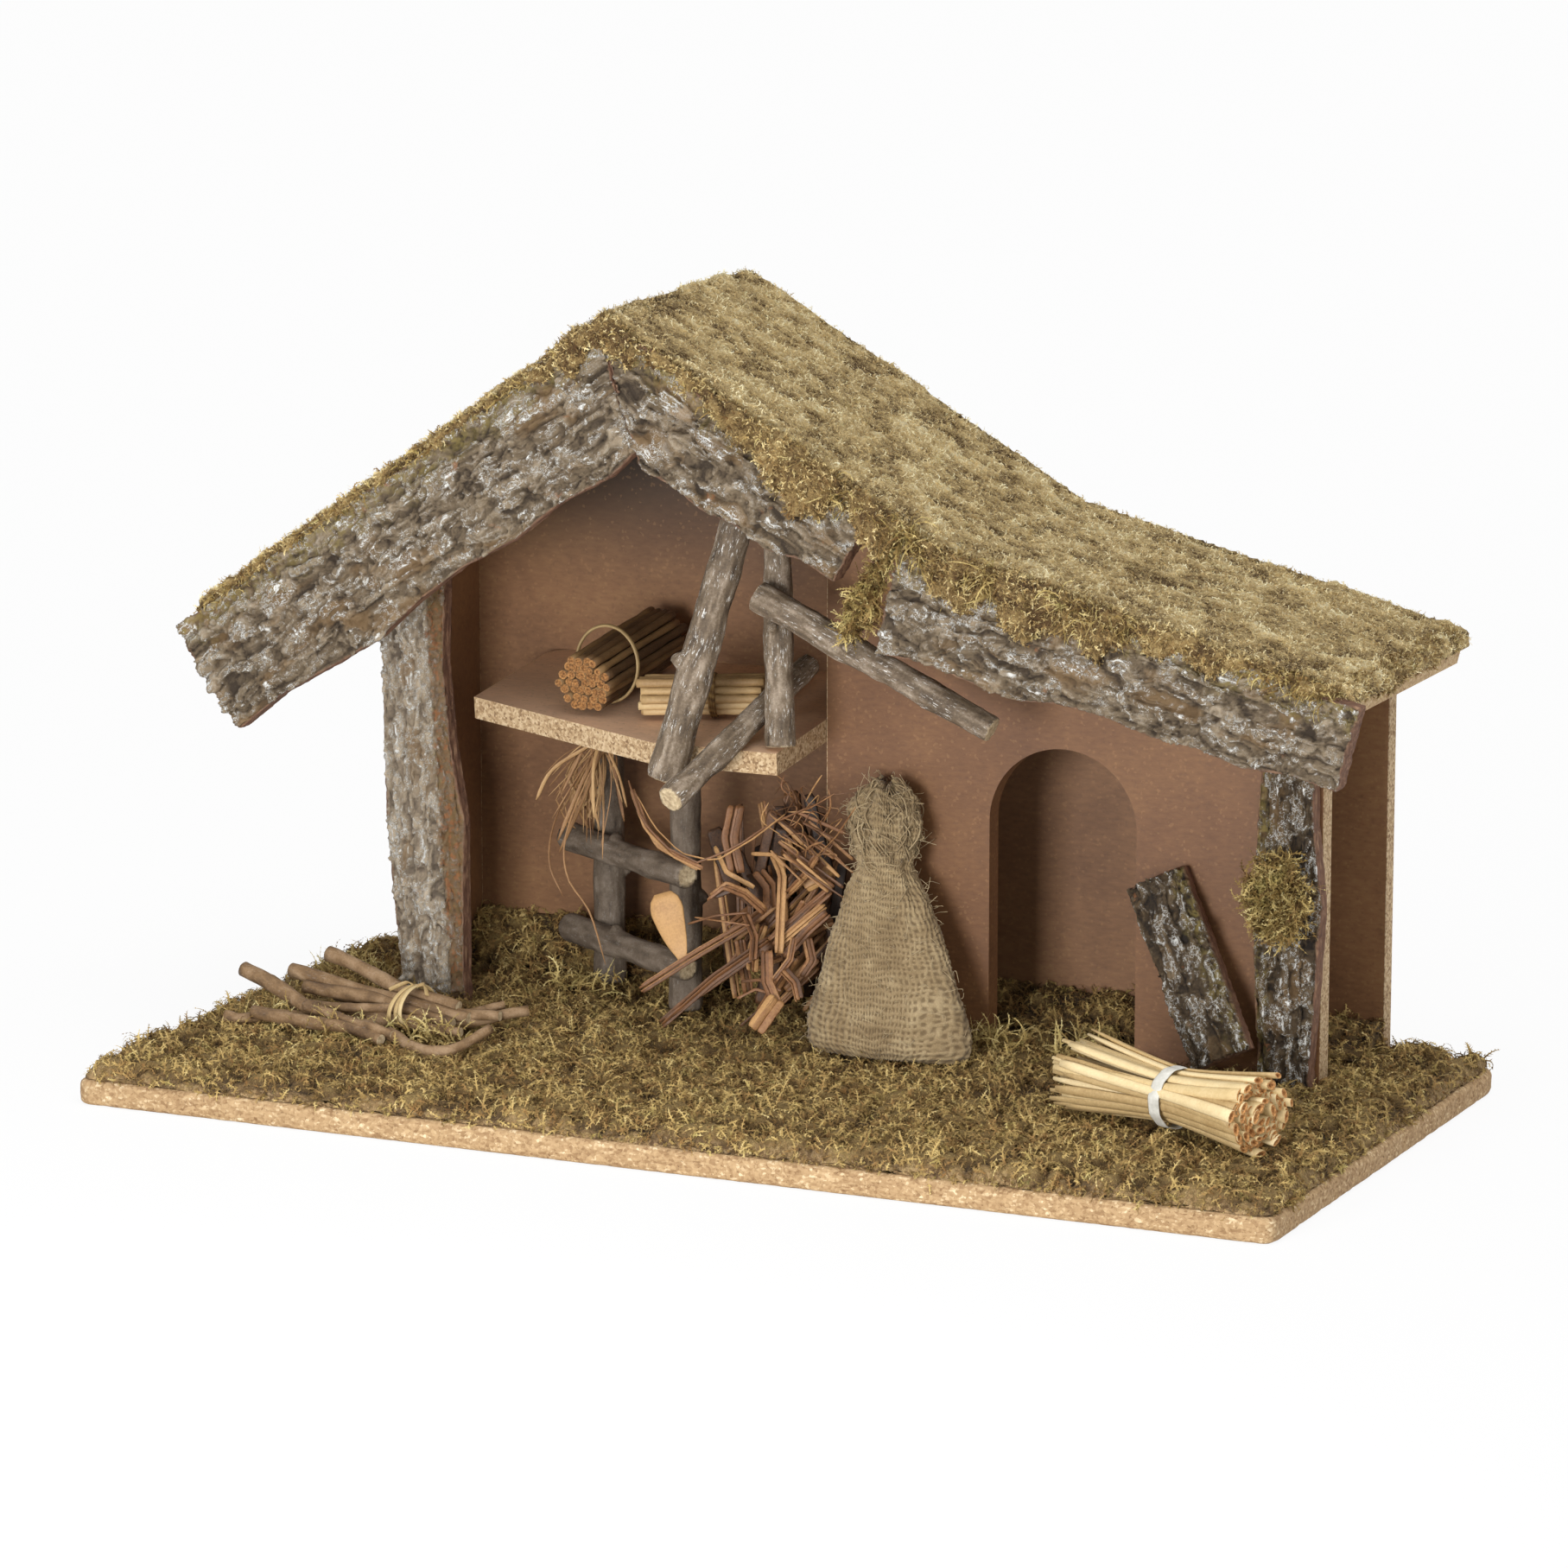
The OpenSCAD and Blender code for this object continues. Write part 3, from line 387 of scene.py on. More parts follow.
class Heap:
    """Gathers parts of one piece: points, faces and what the points are marked with."""

    def __init__(self):
        self.places, self.groups, self.marks, self.count = [], [], {}, 0

    def add(self, places, groups, **marks):
        self.places.append(places)
        self.groups += [group + self.count for group in groups]
        for name, values in marks.items():
            self.marks.setdefault(name, []).append(np.broadcast_to(values, len(places)))
        self.count += len(places)

    def strand(self, points, steps, radius, sides, rng, flat=1.0, tone=None, **marks):
        """Adds a thin rod through a few points, in a random tone where none is given."""
        spine = smooth_path(points, steps)[None]
        places, groups = rods(spine, np.full((1, steps), radius), sides, rng, flat)[:2]
        self.add(places, groups, tone=rng.random() if tone is None else tone, **marks)

    def piece(self, name, material, slot, nodes=()):
        marks = {mark: np.concatenate(values) for mark, values in self.marks.items()}
        return piece(name, np.vstack(self.places), self.groups, material, nodes, marks)


def rods(spines, radii, sides, rng, flat=1.0, cup=0.0, tilt=None):
    """Closed rods round curves. spines is (rods, points, 3), radii (rods, points). Returns points, faces and,
    for each point, its rod's number, its share along the rod and whether it is on a cut end. cup sinks the
    ends by that many radii, flat squeezes the section, and tilt is the way its wide side faces."""
    count, steps = spines.shape[:2]
    tangents = unit(np.gradient(spines, axis=1))
    if tilt is None:
        tilt = rng.normal(size=(count, 3))
    side = unit(tilt[:, None] - np.sum(tilt[:, None] * tangents, axis=2, keepdims=True) * tangents)
    up = np.cross(tangents, side)
    cap, hollow = np.array([0.94, 0.62, 0.5, 0.03]), cup * np.array([0, 0, 1, 1])
    rows = np.pad(np.arange(steps), len(cap), "edge")
    shares = np.concatenate([cap[::-1], np.ones(steps), cap])
    sink = np.concatenate([hollow[::-1], np.zeros(steps), -hollow])
    is_cut = np.pad(np.zeros(steps), len(cap), constant_values=1.0)
    angle = circle(sides)
    spine, tangent = spines[:, rows], tangents[:, rows]
    radius = radii[:, rows] * shares
    middles = spine + tangent * (radii[:, rows] * sink)[:, :, None]
    out = side[:, rows, None] * np.cos(angle)[:, None] + up[:, rows, None] * (np.sin(angle) * flat)[:, None]
    places = middles[:, :, None] + out * radius[:, :, None, None]
    index = np.arange(count * len(rows) * sides).reshape(count, len(rows), sides)
    quads = between_rings(index[:, :-1], index[:, 1:])
    ends = np.vstack([index[:, 0, ::-1], index[:, -1]])
    number = np.repeat(np.arange(count), len(rows) * sides)
    along = np.broadcast_to((rows / (steps - 1))[None, :, None], index.shape).ravel()
    cut = np.broadcast_to(is_cut[None, :, None], index.shape).ravel()
    return places.reshape(-1, 3), [quads, ends], number, along, cut


def fronds(roots, headings, lengths, widths, bends, steps, rng, pull=0.0, leaf=2.2, axes=None):
    """Curled strips with leaflets down both sides, as a moss has. Returns points, faces, each point's strip,
    its share along it and its place on a map with a cell for each strip. pull bends them down, leaf is a
    leaflet's length in widths of the strip, and with axes they bend over their flat face."""
    count = len(roots)
    is_over = axes is not None
    if not is_over:
        axes = sideways(headings, rng)
    spot, heading = roots.copy(), unit(headings)
    down = np.array([0.0, 0.0, -1.0])
    leaf_base = 0.26
    rows, leaves = [], []
    for step in range(steps + 1):
        share = step / steps
        wide = widths * (1 - share) ** 0.6
        across = unit(axes if is_over else np.cross(heading, axes)) * wide[:, None] / 2
        rows.append(np.stack([spot - across, spot + across], axis=1))
        stride = heading * (lengths / steps)[:, None]
        if 0 < step < steps:
            for way in (-1, 1):
                reach = widths * leaf * (1.15 - share) * rng.uniform(0.6, 1.2, count)
                lean = unit(way * across) + 0.75 * heading + 0.35 * rng.normal(size=heading.shape)
                tip = spot + unit(lean) * reach[:, None]
                leaves.append(np.stack([spot - stride * leaf_base, spot + stride * leaf_base, tip], 1))
        spot = spot + stride
        heading = turned(heading, axes, bends / steps)
        heading = unit(heading + down * pull)
    stems = np.stack(rows, axis=1).reshape(count, -1, 3)
    leaves = np.stack(leaves, axis=1).reshape(count, -1, 3)
    stem_size, leaf_size = stems.shape[1], leaves.shape[1]
    each = stem_size + leaf_size
    index = np.arange(count * each).reshape(count, each)
    stem = index[:, :stem_size].reshape(count, steps + 1, 2)
    quads = np.stack([stem[:, :-1, 0], stem[:, 1:, 0], stem[:, 1:, 1], stem[:, :-1, 1]], axis=-1)
    corners = index[:, stem_size:].reshape(-1, 3)
    along_stem = np.repeat(np.arange(steps + 1) / steps, 2)
    leaf_steps = np.repeat(np.arange(1, steps), 2) / steps
    along_leaf = (leaf_steps[:, None] + np.array([-leaf_base, leaf_base, 0.3]) / steps).ravel()
    aside_stem = np.tile([0.44, 0.56], steps + 1)
    aside_leaf = (0.5 + np.tile([-1, 1], steps - 1)[:, None] * np.array([0.06, 0.06, 0.38])).ravel()
    along = np.concatenate([along_stem, along_leaf])
    aside = np.concatenate([aside_stem, aside_leaf])
    number = np.repeat(np.arange(count), each)
    side = math.ceil(math.sqrt(count))
    cell = np.stack([number % side, number // side], axis=1)
    inside = np.tile(np.stack([0.1 + 0.8 * along, aside], axis=1), (count, 1))
    places = np.concatenate([stems, leaves], axis=1).reshape(-1, 3)
    return places, [quads.reshape(-1, 4), corners], number, np.tile(along, count), (cell + inside) / side


def moss_strips(name, made, tone, finish):
    """One piece of the strips that fronds made. tone has a number for each strip."""
    places, groups, strip, reach, uv = made
    piece(name, places, groups, finish, (), {"tone": tone[strip], "reach": reach}, uv)


def grown(name, spots, headings, lengths, widths, bends, steps, finish, rng, pull=0, leaf=2.2, tones=(0, 1)):
    """One piece of strips, whose widths in millimetres, bends and tones are drawn from spans."""
    count = len(spots)
    widths, bends = rng.uniform(*widths, count) * MM, rng.uniform(*bends, count)
    made = fronds(spots, headings, lengths, widths, bends, steps, rng, pull, leaf)
    moss_strips(name, made, rng.uniform(*tones, count), finish)


def moss_mat(name, places, faces, lump, finish, node, bare=0.0, ends=()):
    """One piece of matted moss, and the surface that its strips grow from. lump is 0 in creases and 1 on top,
    where it paints shade into the creases and light onto the tops, and bare is 1 where the board shows
    through."""
    marks = {"bare": np.broadcast_to(bare, len(places)), "lump": lump}
    piece(name, places, [faces, *ends], finish, node, marks)
    return places, point_normals(places, faces), faces


def scattered(surface, density, rng, keep=None):
    """Random points on a surface, density of them to a square millimetre, with their normals."""
    places, normals, faces = surface
    corner = places[faces]
    area = np.linalg.norm(np.cross(corner[:, 2] - corner[:, 0], corner[:, 3] - corner[:, 1]), axis=1) / 2
    count = int(area.sum() / MM ** 2 * density)
    chosen = rng.choice(len(faces), count, p=area / area.sum())
    a, b = rng.random((2, count, 1))
    mixed = [(1 - a) * (1 - b), a * (1 - b), a * b, (1 - a) * b]
    spots = sum(m * places[faces[chosen, k]] for k, m in enumerate(mixed))
    out = unit(sum(m * normals[faces[chosen, k]] for k, m in enumerate(mixed)))
    if keep is not None:
        kept = keep(spots, out)
        spots, out = spots[kept], out[kept]
    return spots, out


# Finishes

def chipboard(name, pale=(206, 178, 136), brown=(150, 112, 74)):
    """Pressed wood flakes with small dark pits."""
    made = Finish(name, Roughness=0.85)
    fine = made.flakes(1.1 * MM)
    long_flakes = made.flakes(1.6 * MM, made.where((0.5, 1, 1.6)))
    cloud = made.noise(9 * MM)
    tone = fine * 0.45 + long_flakes * 0.35 + cloud * 0.3
    between = [(p * 2 + b) / 3 for p, b in zip(pale, brown)]
    colour = made.ramp(tone, (0.12, brown), (0.45, between), (0.75, pale), (1.0, (228, 208, 172)))
    pits = (made.noise(0.8 * MM, 2) > 0.68) * 0.65
    colour = made.mix(pits, colour, (96, 66, 40))
    return made.finish(colour, height=tone - pits, depth=0.3 * MM)


def fibreboard(name, raw, lighter=0, paints_ridge_shade=False):
    """Brown stained board. raw is a function of the finish that gives where its sawn edges show, and with
    paints_ridge_shade its front is darkened towards the ridge as painted shade, for the roof's shadow."""
    made = Finish(name, Roughness=0.62)
    cloud = made.noise(60 * MM, 4, 0.6)
    fibres = made.noise(1.6 * MM, 4, 0.65, made.where((0.35, 1, 1)))
    specks = made.flakes(1.0 * MM)
    tone = cloud * 0.7 + fibres * 0.45 - 0.08
    stain = ((0.25, (107, 73, 47)), (0.5, (133, 95, 63)), (0.78, (157, 117, 77)))
    face = made.ramp(tone, *stain, lighter=lighter)
    if paints_ridge_shade:
        # Painted shade: the wall's front darkens towards the ridge, standing in for the roof's shadow.
        front = made.along("Y") < 114 * MM
        ridge_shade = made.along("Z").between(168 * MM, 232 * MM) * front * (cloud * 0.5 + 0.7)
        face = made.mix(ridge_shade, face, (50, 37, 25))
    face = made.mix((specks > 0.955) * 0.13, face, (190, 146, 96))
    face = made.mix((specks < 0.05) * 0.18, face, (84, 58, 42))
    flake = made.flakes(0.9 * MM) * 0.6 + made.noise(2.4 * MM) * 0.55
    edge = made.ramp(flake, (0.2, (122, 92, 62)), (0.5, (178, 148, 110)), (0.85, (208, 184, 148)))
    where = raw(made)
    colour = made.mix(where, face, edge)
    return made.finish(colour, where * 0.22 + 0.6, fibres + flake * where, 0.12 * MM)


def bark_finish(name, lichen, silver, streak, lighter=0):
    """Flaky bark. lichen is the colour on it, silver the share of it under lichen, and streak shows rust up
    one edge."""
    made = Finish(name)
    depth, tone, skin, rise = (made.mark(mark) for mark in ("depth", "tone", "skin", "rise"))
    run, across, out = (made.mark(mark) for mark in ("run", "across", "out"))
    long_way = made.point(run * 0.4, across, out)
    grit = made.noise(0.9 * MM, 5, 0.7)
    fibre = made.noise(1.5 * MM, 5, 0.7, long_way)
    chips = made.flakes(2.2 * MM, long_way)
    level = depth * 0.75 + tone * 0.12 + grit * 0.35 + fibre * 0.5 + chips * 0.14 - 0.52
    bark = ((0.04, (54, 42, 29)), (0.27, (98, 83, 63)), (0.52, (132, 116, 93)), (0.85, (168, 153, 131)))
    colour = made.ramp(level, *bark, lighter=lighter)
    patch = made.noise(12 * MM, 4, 0.6, long_way)
    colour = made.mix(patch.between(0.52, 0.66) * 0.55, colour, (126, 98, 62))
    moss_tinge = (rise + made.noise(9 * MM) * 0.6).between(0.95, 1.25) * made.noise(3 * MM).between(0.4, 0.6)
    colour = made.mix(moss_tinge * 0.75, colour, (132, 116, 62))
    cluster = made.noise(9 * MM, 3).between(0.62 - silver * 0.3, 0.76 - silver * 0.3)
    thread = made.noise(3.4 * MM, 6, 0.66)
    wisps = abs(thread - 0.5).between(0.02, 0.008)
    streaks = made.noise(1.3 * MM, 5, 0.7, long_way).between(0.575, 0.605)
    blots = made.noise(2.2 * MM, 6, 0.72).between(0.6, 0.62)
    frost = (wisps * 0.9).top(streaks * 0.85).top(blots)
    frost = frost * depth.between(0.3, 0.55) * (cluster * 0.88 + 0.12) * skin
    colour = made.mix(frost, colour, lichen)
    spots = made.noise(11 * MM, 2).between(0.66, 0.74) * 0.7
    edge = (rise + made.noise(4 * MM) * 0.25).between(0.84, 0.92) * streak
    colour = made.mix(edge * (fibre * 0.9 + 0.3) * skin, colour, (112, 84, 52))
    rust = spots.top(edge * 0.8) * made.noise(2.5 * MM, 4, 0.6).between(0.52, 0.6)
    colour = made.mix(rust * skin * 0.7, colour, (156, 98, 56))
    grain = made.noise(2.2 * MM, 4, 0.6, long_way)
    wood = made.ramp(grain, (0.3, (88, 58, 44)), (0.55, (128, 92, 70)), (0.75, (166, 132, 102)))
    colour = made.mix(skin, wood, colour)
    height = grit * 0.7 + fibre * 1.1 + chips * 0.5 + frost * 0.4
    return made.finish(colour, 0.8 - frost * 0.45, height, 0.7 * MM, 0.9)


def twig_finish(name, dark, mid, frost_share, lighter):
    """Twig bark with a pale bloom in thin veins, and pale wood where it is cut."""
    made = Finish(name)
    cut, tone, depth = made.mark("cut"), made.mark("tone"), made.mark("depth")
    grit = made.noise(1.0 * MM, 5, 0.7)
    level = depth * 0.62 + grit * 0.5 + tone * 0.14 - 0.12
    colour = made.ramp(level, (0.18, dark), (0.5, mid), (0.82, [part + lighter for part in mid]))
    drawn_out = made.point(made.mark("side_x"), made.mark("side_y"), made.mark("side_z"))
    veins = made.noise(0.65 * MM, 5, 0.72, drawn_out).between(0.56, 0.62)
    frost = veins * made.noise(6 * MM, 4, 0.6).between(0.42, 0.62) * frost_share * (1 - cut)
    colour = made.mix(frost, colour, (222, 220, 214))
    heart = made.noise(1.5 * MM, 3)
    wood = made.ramp(heart, (0.3, (150, 126, 96)), (0.6, (204, 184, 148)), (0.8, (228, 212, 182)))
    colour = made.mix(cut, colour, wood)
    return made.finish(colour, 0.72 - frost * 0.35, grit + depth * 0.4, 0.35 * MM)


def moss_finish(name, deep, middle, light, tip, brown_share=0.6, green_share=0.5):
    """Root to tip along each strip, with a tone for each strip and patches over the whole."""
    made = Finish(name, Roughness=0.9)
    tone, reach = made.mark("tone"), made.mark("reach")
    patches = made.noise(24 * MM, 3, 0.6)
    clumps = made.noise(5 * MM, 2)
    level = reach * 0.3 + tone * 0.58 + patches * 0.26 + clumps * 0.22 - 0.26
    colour = made.ramp(level, (0.08, deep), (0.36, middle), (0.64, light), (0.92, tip))
    brown = made.noise(9 * MM, 3, 0.6).between(0.5, 0.64) * brown_share
    colour = made.mix(brown, colour, (130, 94, 50))
    green = made.noise(8 * MM, 3).between(0.56, 0.68) * green_share * (reach * 0.6 + 0.4)
    colour = made.mix(green, colour, (158, 152, 84))
    return made.finish(colour, height=made.noise(0.8 * MM, 2), depth=0.2 * MM)


def litter_finish(name, deep, middle, light, bare_colour):
    """Matted moss under the strips, with painted shade in its creases and painted light on its tops. bare is
    where board and crumbs show through.
    """
    made = Finish(name, Roughness=0.95)
    bare, lump = made.mark("bare"), made.mark("lump")
    fine = made.noise(1.3 * MM, 5, 0.72)
    curl = made.noise(2.4 * MM, 4, 0.6)
    strands = abs(curl - 0.5).between(0.07, 0.01)
    patches = made.noise(20 * MM, 3)
    # Painted shade and light: lump darkens the creases and lightens the tops.
    level = lump * 0.55 + fine * 0.5 + strands * 0.16 + patches * 0.3 - 0.42
    colour = made.ramp(level, (0.08, deep), (0.42, middle), (0.8, light))
    flake = made.flakes(1.3 * MM)
    board = made.ramp(flake, (0.1, (112, 84, 54)), (0.6, bare_colour), (1.0, (196, 166, 122)))
    colour = made.mix(bare * made.noise(2.2 * MM).between(0.3, 0.55), colour, board)
    return made.finish(colour, height=fine + strands * 0.5, depth=1.1 * MM, strength=0.9)


def stalk_finish(name, deep, middle, light, cut_deep, cut_light, roughness=0.6):
    """Stalks, sticks and blades: streaks along them, a tone for each, and their own cut ends."""
    made = Finish(name)
    tone, cut = made.mark("tone"), made.mark("cut")
    streaks = made.noise(0.9 * MM, 4, 0.6)
    blotch = made.noise(7 * MM, 2)
    level = tone * 0.55 + streaks * 0.35 + blotch * 0.3 - 0.1
    colour = made.ramp(level, (0.15, deep), (0.5, middle), (0.85, light))
    pith = made.noise(0.8 * MM, 3)
    ends = made.ramp(pith, (0.35, cut_deep), (0.65, cut_light))
    colour = made.mix(cut, colour, ends)
    return made.finish(colour, cut * 0.25 + roughness, streaks, 0.15 * MM)


def burlap_finish(name, thread):
    """Coarse cloth in one colour of thread, with painted shade in the holes between threads."""
    made = Finish(name, Roughness=0.92, Sheen_Weight=0.15)
    hole, tone = made.mark("hole"), made.mark("tone")
    fibres = made.noise(0.5 * MM, 3, 0.7)
    level = tone * 0.3 + fibres * 0.5 + made.noise(14 * MM, 2) * 0.35 - 0.05
    colour = made.ramp(level, (0.2, (108, 87, 59)), (0.5, thread), (0.8, (188, 168, 131)))
    # Painted shade in the hollows of the weave.
    colour = made.mix(hole.between(0.3, 0.9) * 0.7, colour, (92, 72, 46))
    return made.finish(colour, height=fibres, depth=0.15 * MM)


def plain_finish(name, deep, light, size, roughness):
    """One colour that varies a little in spots of about size metres."""
    made = Finish(name)
    tone = made.noise(size, 4, 0.6)
    colour = made.ramp(tone, (0.3, deep), (0.7, light))
    return made.finish(colour, tone * 0.2 + roughness, tone, 0.1 * MM)


# What a user may change

def length(name, default, text):
    return bpy.props.FloatProperty(
        name=name, description=text, default=default, min=0, unit="LENGTH", precision=5)


def strength(name, default, text, most=100.0):
    return bpy.props.FloatProperty(name=name, description=text, default=default, min=0, max=most)


def colour(name, default, text):
    first = shade(*default)[:3]
    return bpy.props.FloatVectorProperty(
        name=name, description=text, default=first, size=3, subtype="COLOR", min=0, max=1)


class StableMoss(bpy.types.PropertyGroup):
    """Sizes and colours of the moss on the ground and the roof."""

    ground_density: strength("Ground density", 0.34, "Moss strips to a square millimetre of ground", 2)
    ground_strip: length("Ground strip", 5.8 * MM, "Middle length of a moss strip on the ground")
    ground_width: length("Ground width", 0.75 * MM, "Width of a moss strip on the ground")
    ground_colour: colour("Ground moss", (128, 100, 55), "Main colour of the moss strips on the ground")
    roof_density: strength("Roof density", 0.5, "Moss strips to a square millimetre of roof", 2)
    roof_strip: length("Roof strip", 2.3 * MM, "Middle length of a moss strip on the roof")
    roof_width: length("Roof width", 0.38 * MM, "Width of a moss strip on the roof")
    roof_colour: colour("Roof moss", (220, 192, 134), "Main colour of the moss strips on the roof")
    lumps: length("Lumps", 1.5 * MM, "How far the moss mat rises and falls")


class StableBark(bpy.types.PropertyGroup):
    """Sizes of the bark's relief, and its lichen."""

    plate: length("Plate", 3.4 * MM, "Length of a bark plate along the slab")
    relief: length("Relief", 1.5 * MM, "How far bark plates rise over the furrows")
    grain: length("Grain", 0.7 * MM, "Size of the faces that the bark is made in")
    lichen: colour("Lichen", (236, 236, 232), "Colour of the lichen on the bark")


class StableFarm(bpy.types.PropertyGroup):
    """Sizes and colours of the sack's weave, the straw and the hay."""

    thread: length("Thread", 2.4 * MM, "Pitch of the burlap's threads")
    weave_relief: length("Weave relief", 0.6 * MM, "How far the threads stand proud")
    burlap_colour: colour("Burlap", (146, 125, 91), "Main colour of the burlap")
    straw_width: length("Straw width", 4.0 * MM, "Width of a straw in the sheaf")
    straw_colour: colour("Straw", (206, 180, 130), "Main colour of the sheaf's straw")
    hay_blades: bpy.props.IntProperty(name="Hay blades", description="Blades of loose hay", default=64, min=1)
    hay_colour: colour("Hay", (128, 86, 52), "Main colour of the hay")


class StableStage(bpy.types.PropertyGroup):
    """The light and the floor."""

    front: bpy.props.FloatProperty(
        name="Front lamp", description="Power of the soft front lamp", default=6.9, min=0, unit="POWER")
    side: strength("Side lamp", 0.4, "Strength of the lamp at the right")
    top: strength("Top lamp", 1.6, "Strength of the lamp overhead")
    room: strength("Room", 0.38, "Strength of the light from all round")
    floor: bpy.props.FloatVectorProperty(
        name="Floor", description="Colour of the floor", default=(0.9, 0.9, 0.9), size=3, subtype="COLOR")


# Pieces of the stable

def box(node):
    """A node's lowest and highest corners."""
    low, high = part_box(node)
    return np.array(low), np.array(high)


def node_material(node, material):
    """Gives a node that stays as packed its finish."""
    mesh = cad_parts[node].data
    mesh.materials.clear()
    mesh.materials.append(material)


class StableBoards(bpy.types.Operator):
    """Finish the walls, the shelf and the roof boards, and make the worn base board."""

    bl_idname = "stable.boards"
    bl_label = "Boards"

    # How far in from a wall's end its sawn wood shows
    SAWN = 0.3 * MM

    def execute(self, context):
        self.base(chipboard("base_chipboard", (184, 154, 114), (128, 96, 62)))
        roof = chipboard("roof_chipboard")
        for part in ("left", "middle", "low"):
            node_material("roof_board_" + part, roof)
        # Copies of one board: the arch panel's is painted darker, as painted shade from the eave.
        for wall, axis, lighter in (("back_wall", "X", -1), ("arch_panel", "X", -15), ("left_wall", "Y", -1)):
            raw = self.sawn_ends(wall, axis)
            # Only the back wall's board carries the painted ridge shade.
            node_material(wall, fibreboard(wall + "_board", raw, lighter, wall == "back_wall"))
        # The shelf's copy is painted 84 lighter, as painted light for the light and sheen on its top.
        node_material("loft_shelf", fibreboard("shelf_board_painted_light", self.shelf_edges, 84))
        return {"FINISHED"}

    def sawn_ends(self, wall, axis):
        """Where a wall's two upright ends show, as a function of its finish."""
        number = "XYZ".index(axis)
        low, high = (float(corner[number]) for corner in box(wall))
        return lambda made: (made.along(axis) < low + self.SAWN) + (made.along(axis) > high - self.SAWN)

    @staticmethod
    def shelf_edges(made):
        """Where the shelf's upright edges show."""
        normal = made.wire("True Normal", "ShaderNodeNewGeometry")
        up = made.wire("Z", "ShaderNodeSeparateXYZ", None, {"Vector": normal})
        return abs(up) < 0.7

    @staticmethod
    def base(finish):
        """The base board with its sawn edges rounded over by wear."""
        low, high = box("base_board")
        corner, corner_points, line_points, round_over = 6 * MM, 14, 900, 2.6 * MM
        rim = []
        for k, way in enumerate(((1, -1), (1, 1), (-1, 1), (-1, -1))):
            middle = np.where(np.array(way) > 0, high[:2] - corner, low[:2] + corner)
            for angle in np.radians(np.linspace(-90 + 90 * k, 90 * k, corner_points)):
                rim.append(middle + corner * np.array([math.cos(angle), math.sin(angle)]))
        rim.append(rim[0])
        rim = np.array(rim)
        line = walked(rim, np.linspace(0, travelled(rim)[-1], line_points, endpoint=False))
        inward = -unit(np.stack([np.gradient(line[:, 1]), -np.gradient(line[:, 0])], axis=1))
        turn = np.linspace(0, math.pi / 2, 6)
        inset = np.concatenate([round_over * (1 - np.sin(turn)), [0, 0], round_over * (1 - np.cos(turn))])
        foot, side, top = round_over * (1 - np.cos(turn)), [4 * MM, 6 * MM], high[2] - round_over
        rise = np.concatenate([foot, side, top + round_over * np.sin(turn)])
        rings = []
        for x, z in zip(inset, rise):
            ring = np.column_stack([line + inward * x, np.full(len(line), z)])
            chip = np.clip(rough(ring, 5 * MM, 31), 0, 1) * 0.9
            chip = chip + np.clip(rough(ring, 1.6 * MM, 35), 0, 1) * 0.35
            ring[:, :2] += inward * (chip * MM)[:, None]
            rings.append(ring)
        quads, index = ring_faces(len(rings), len(line))
        groups = [quads, index[0, ::-1][None], index[-1][None]]
        piece("base_body", np.vstack(rings), groups, finish, ["base_board"])


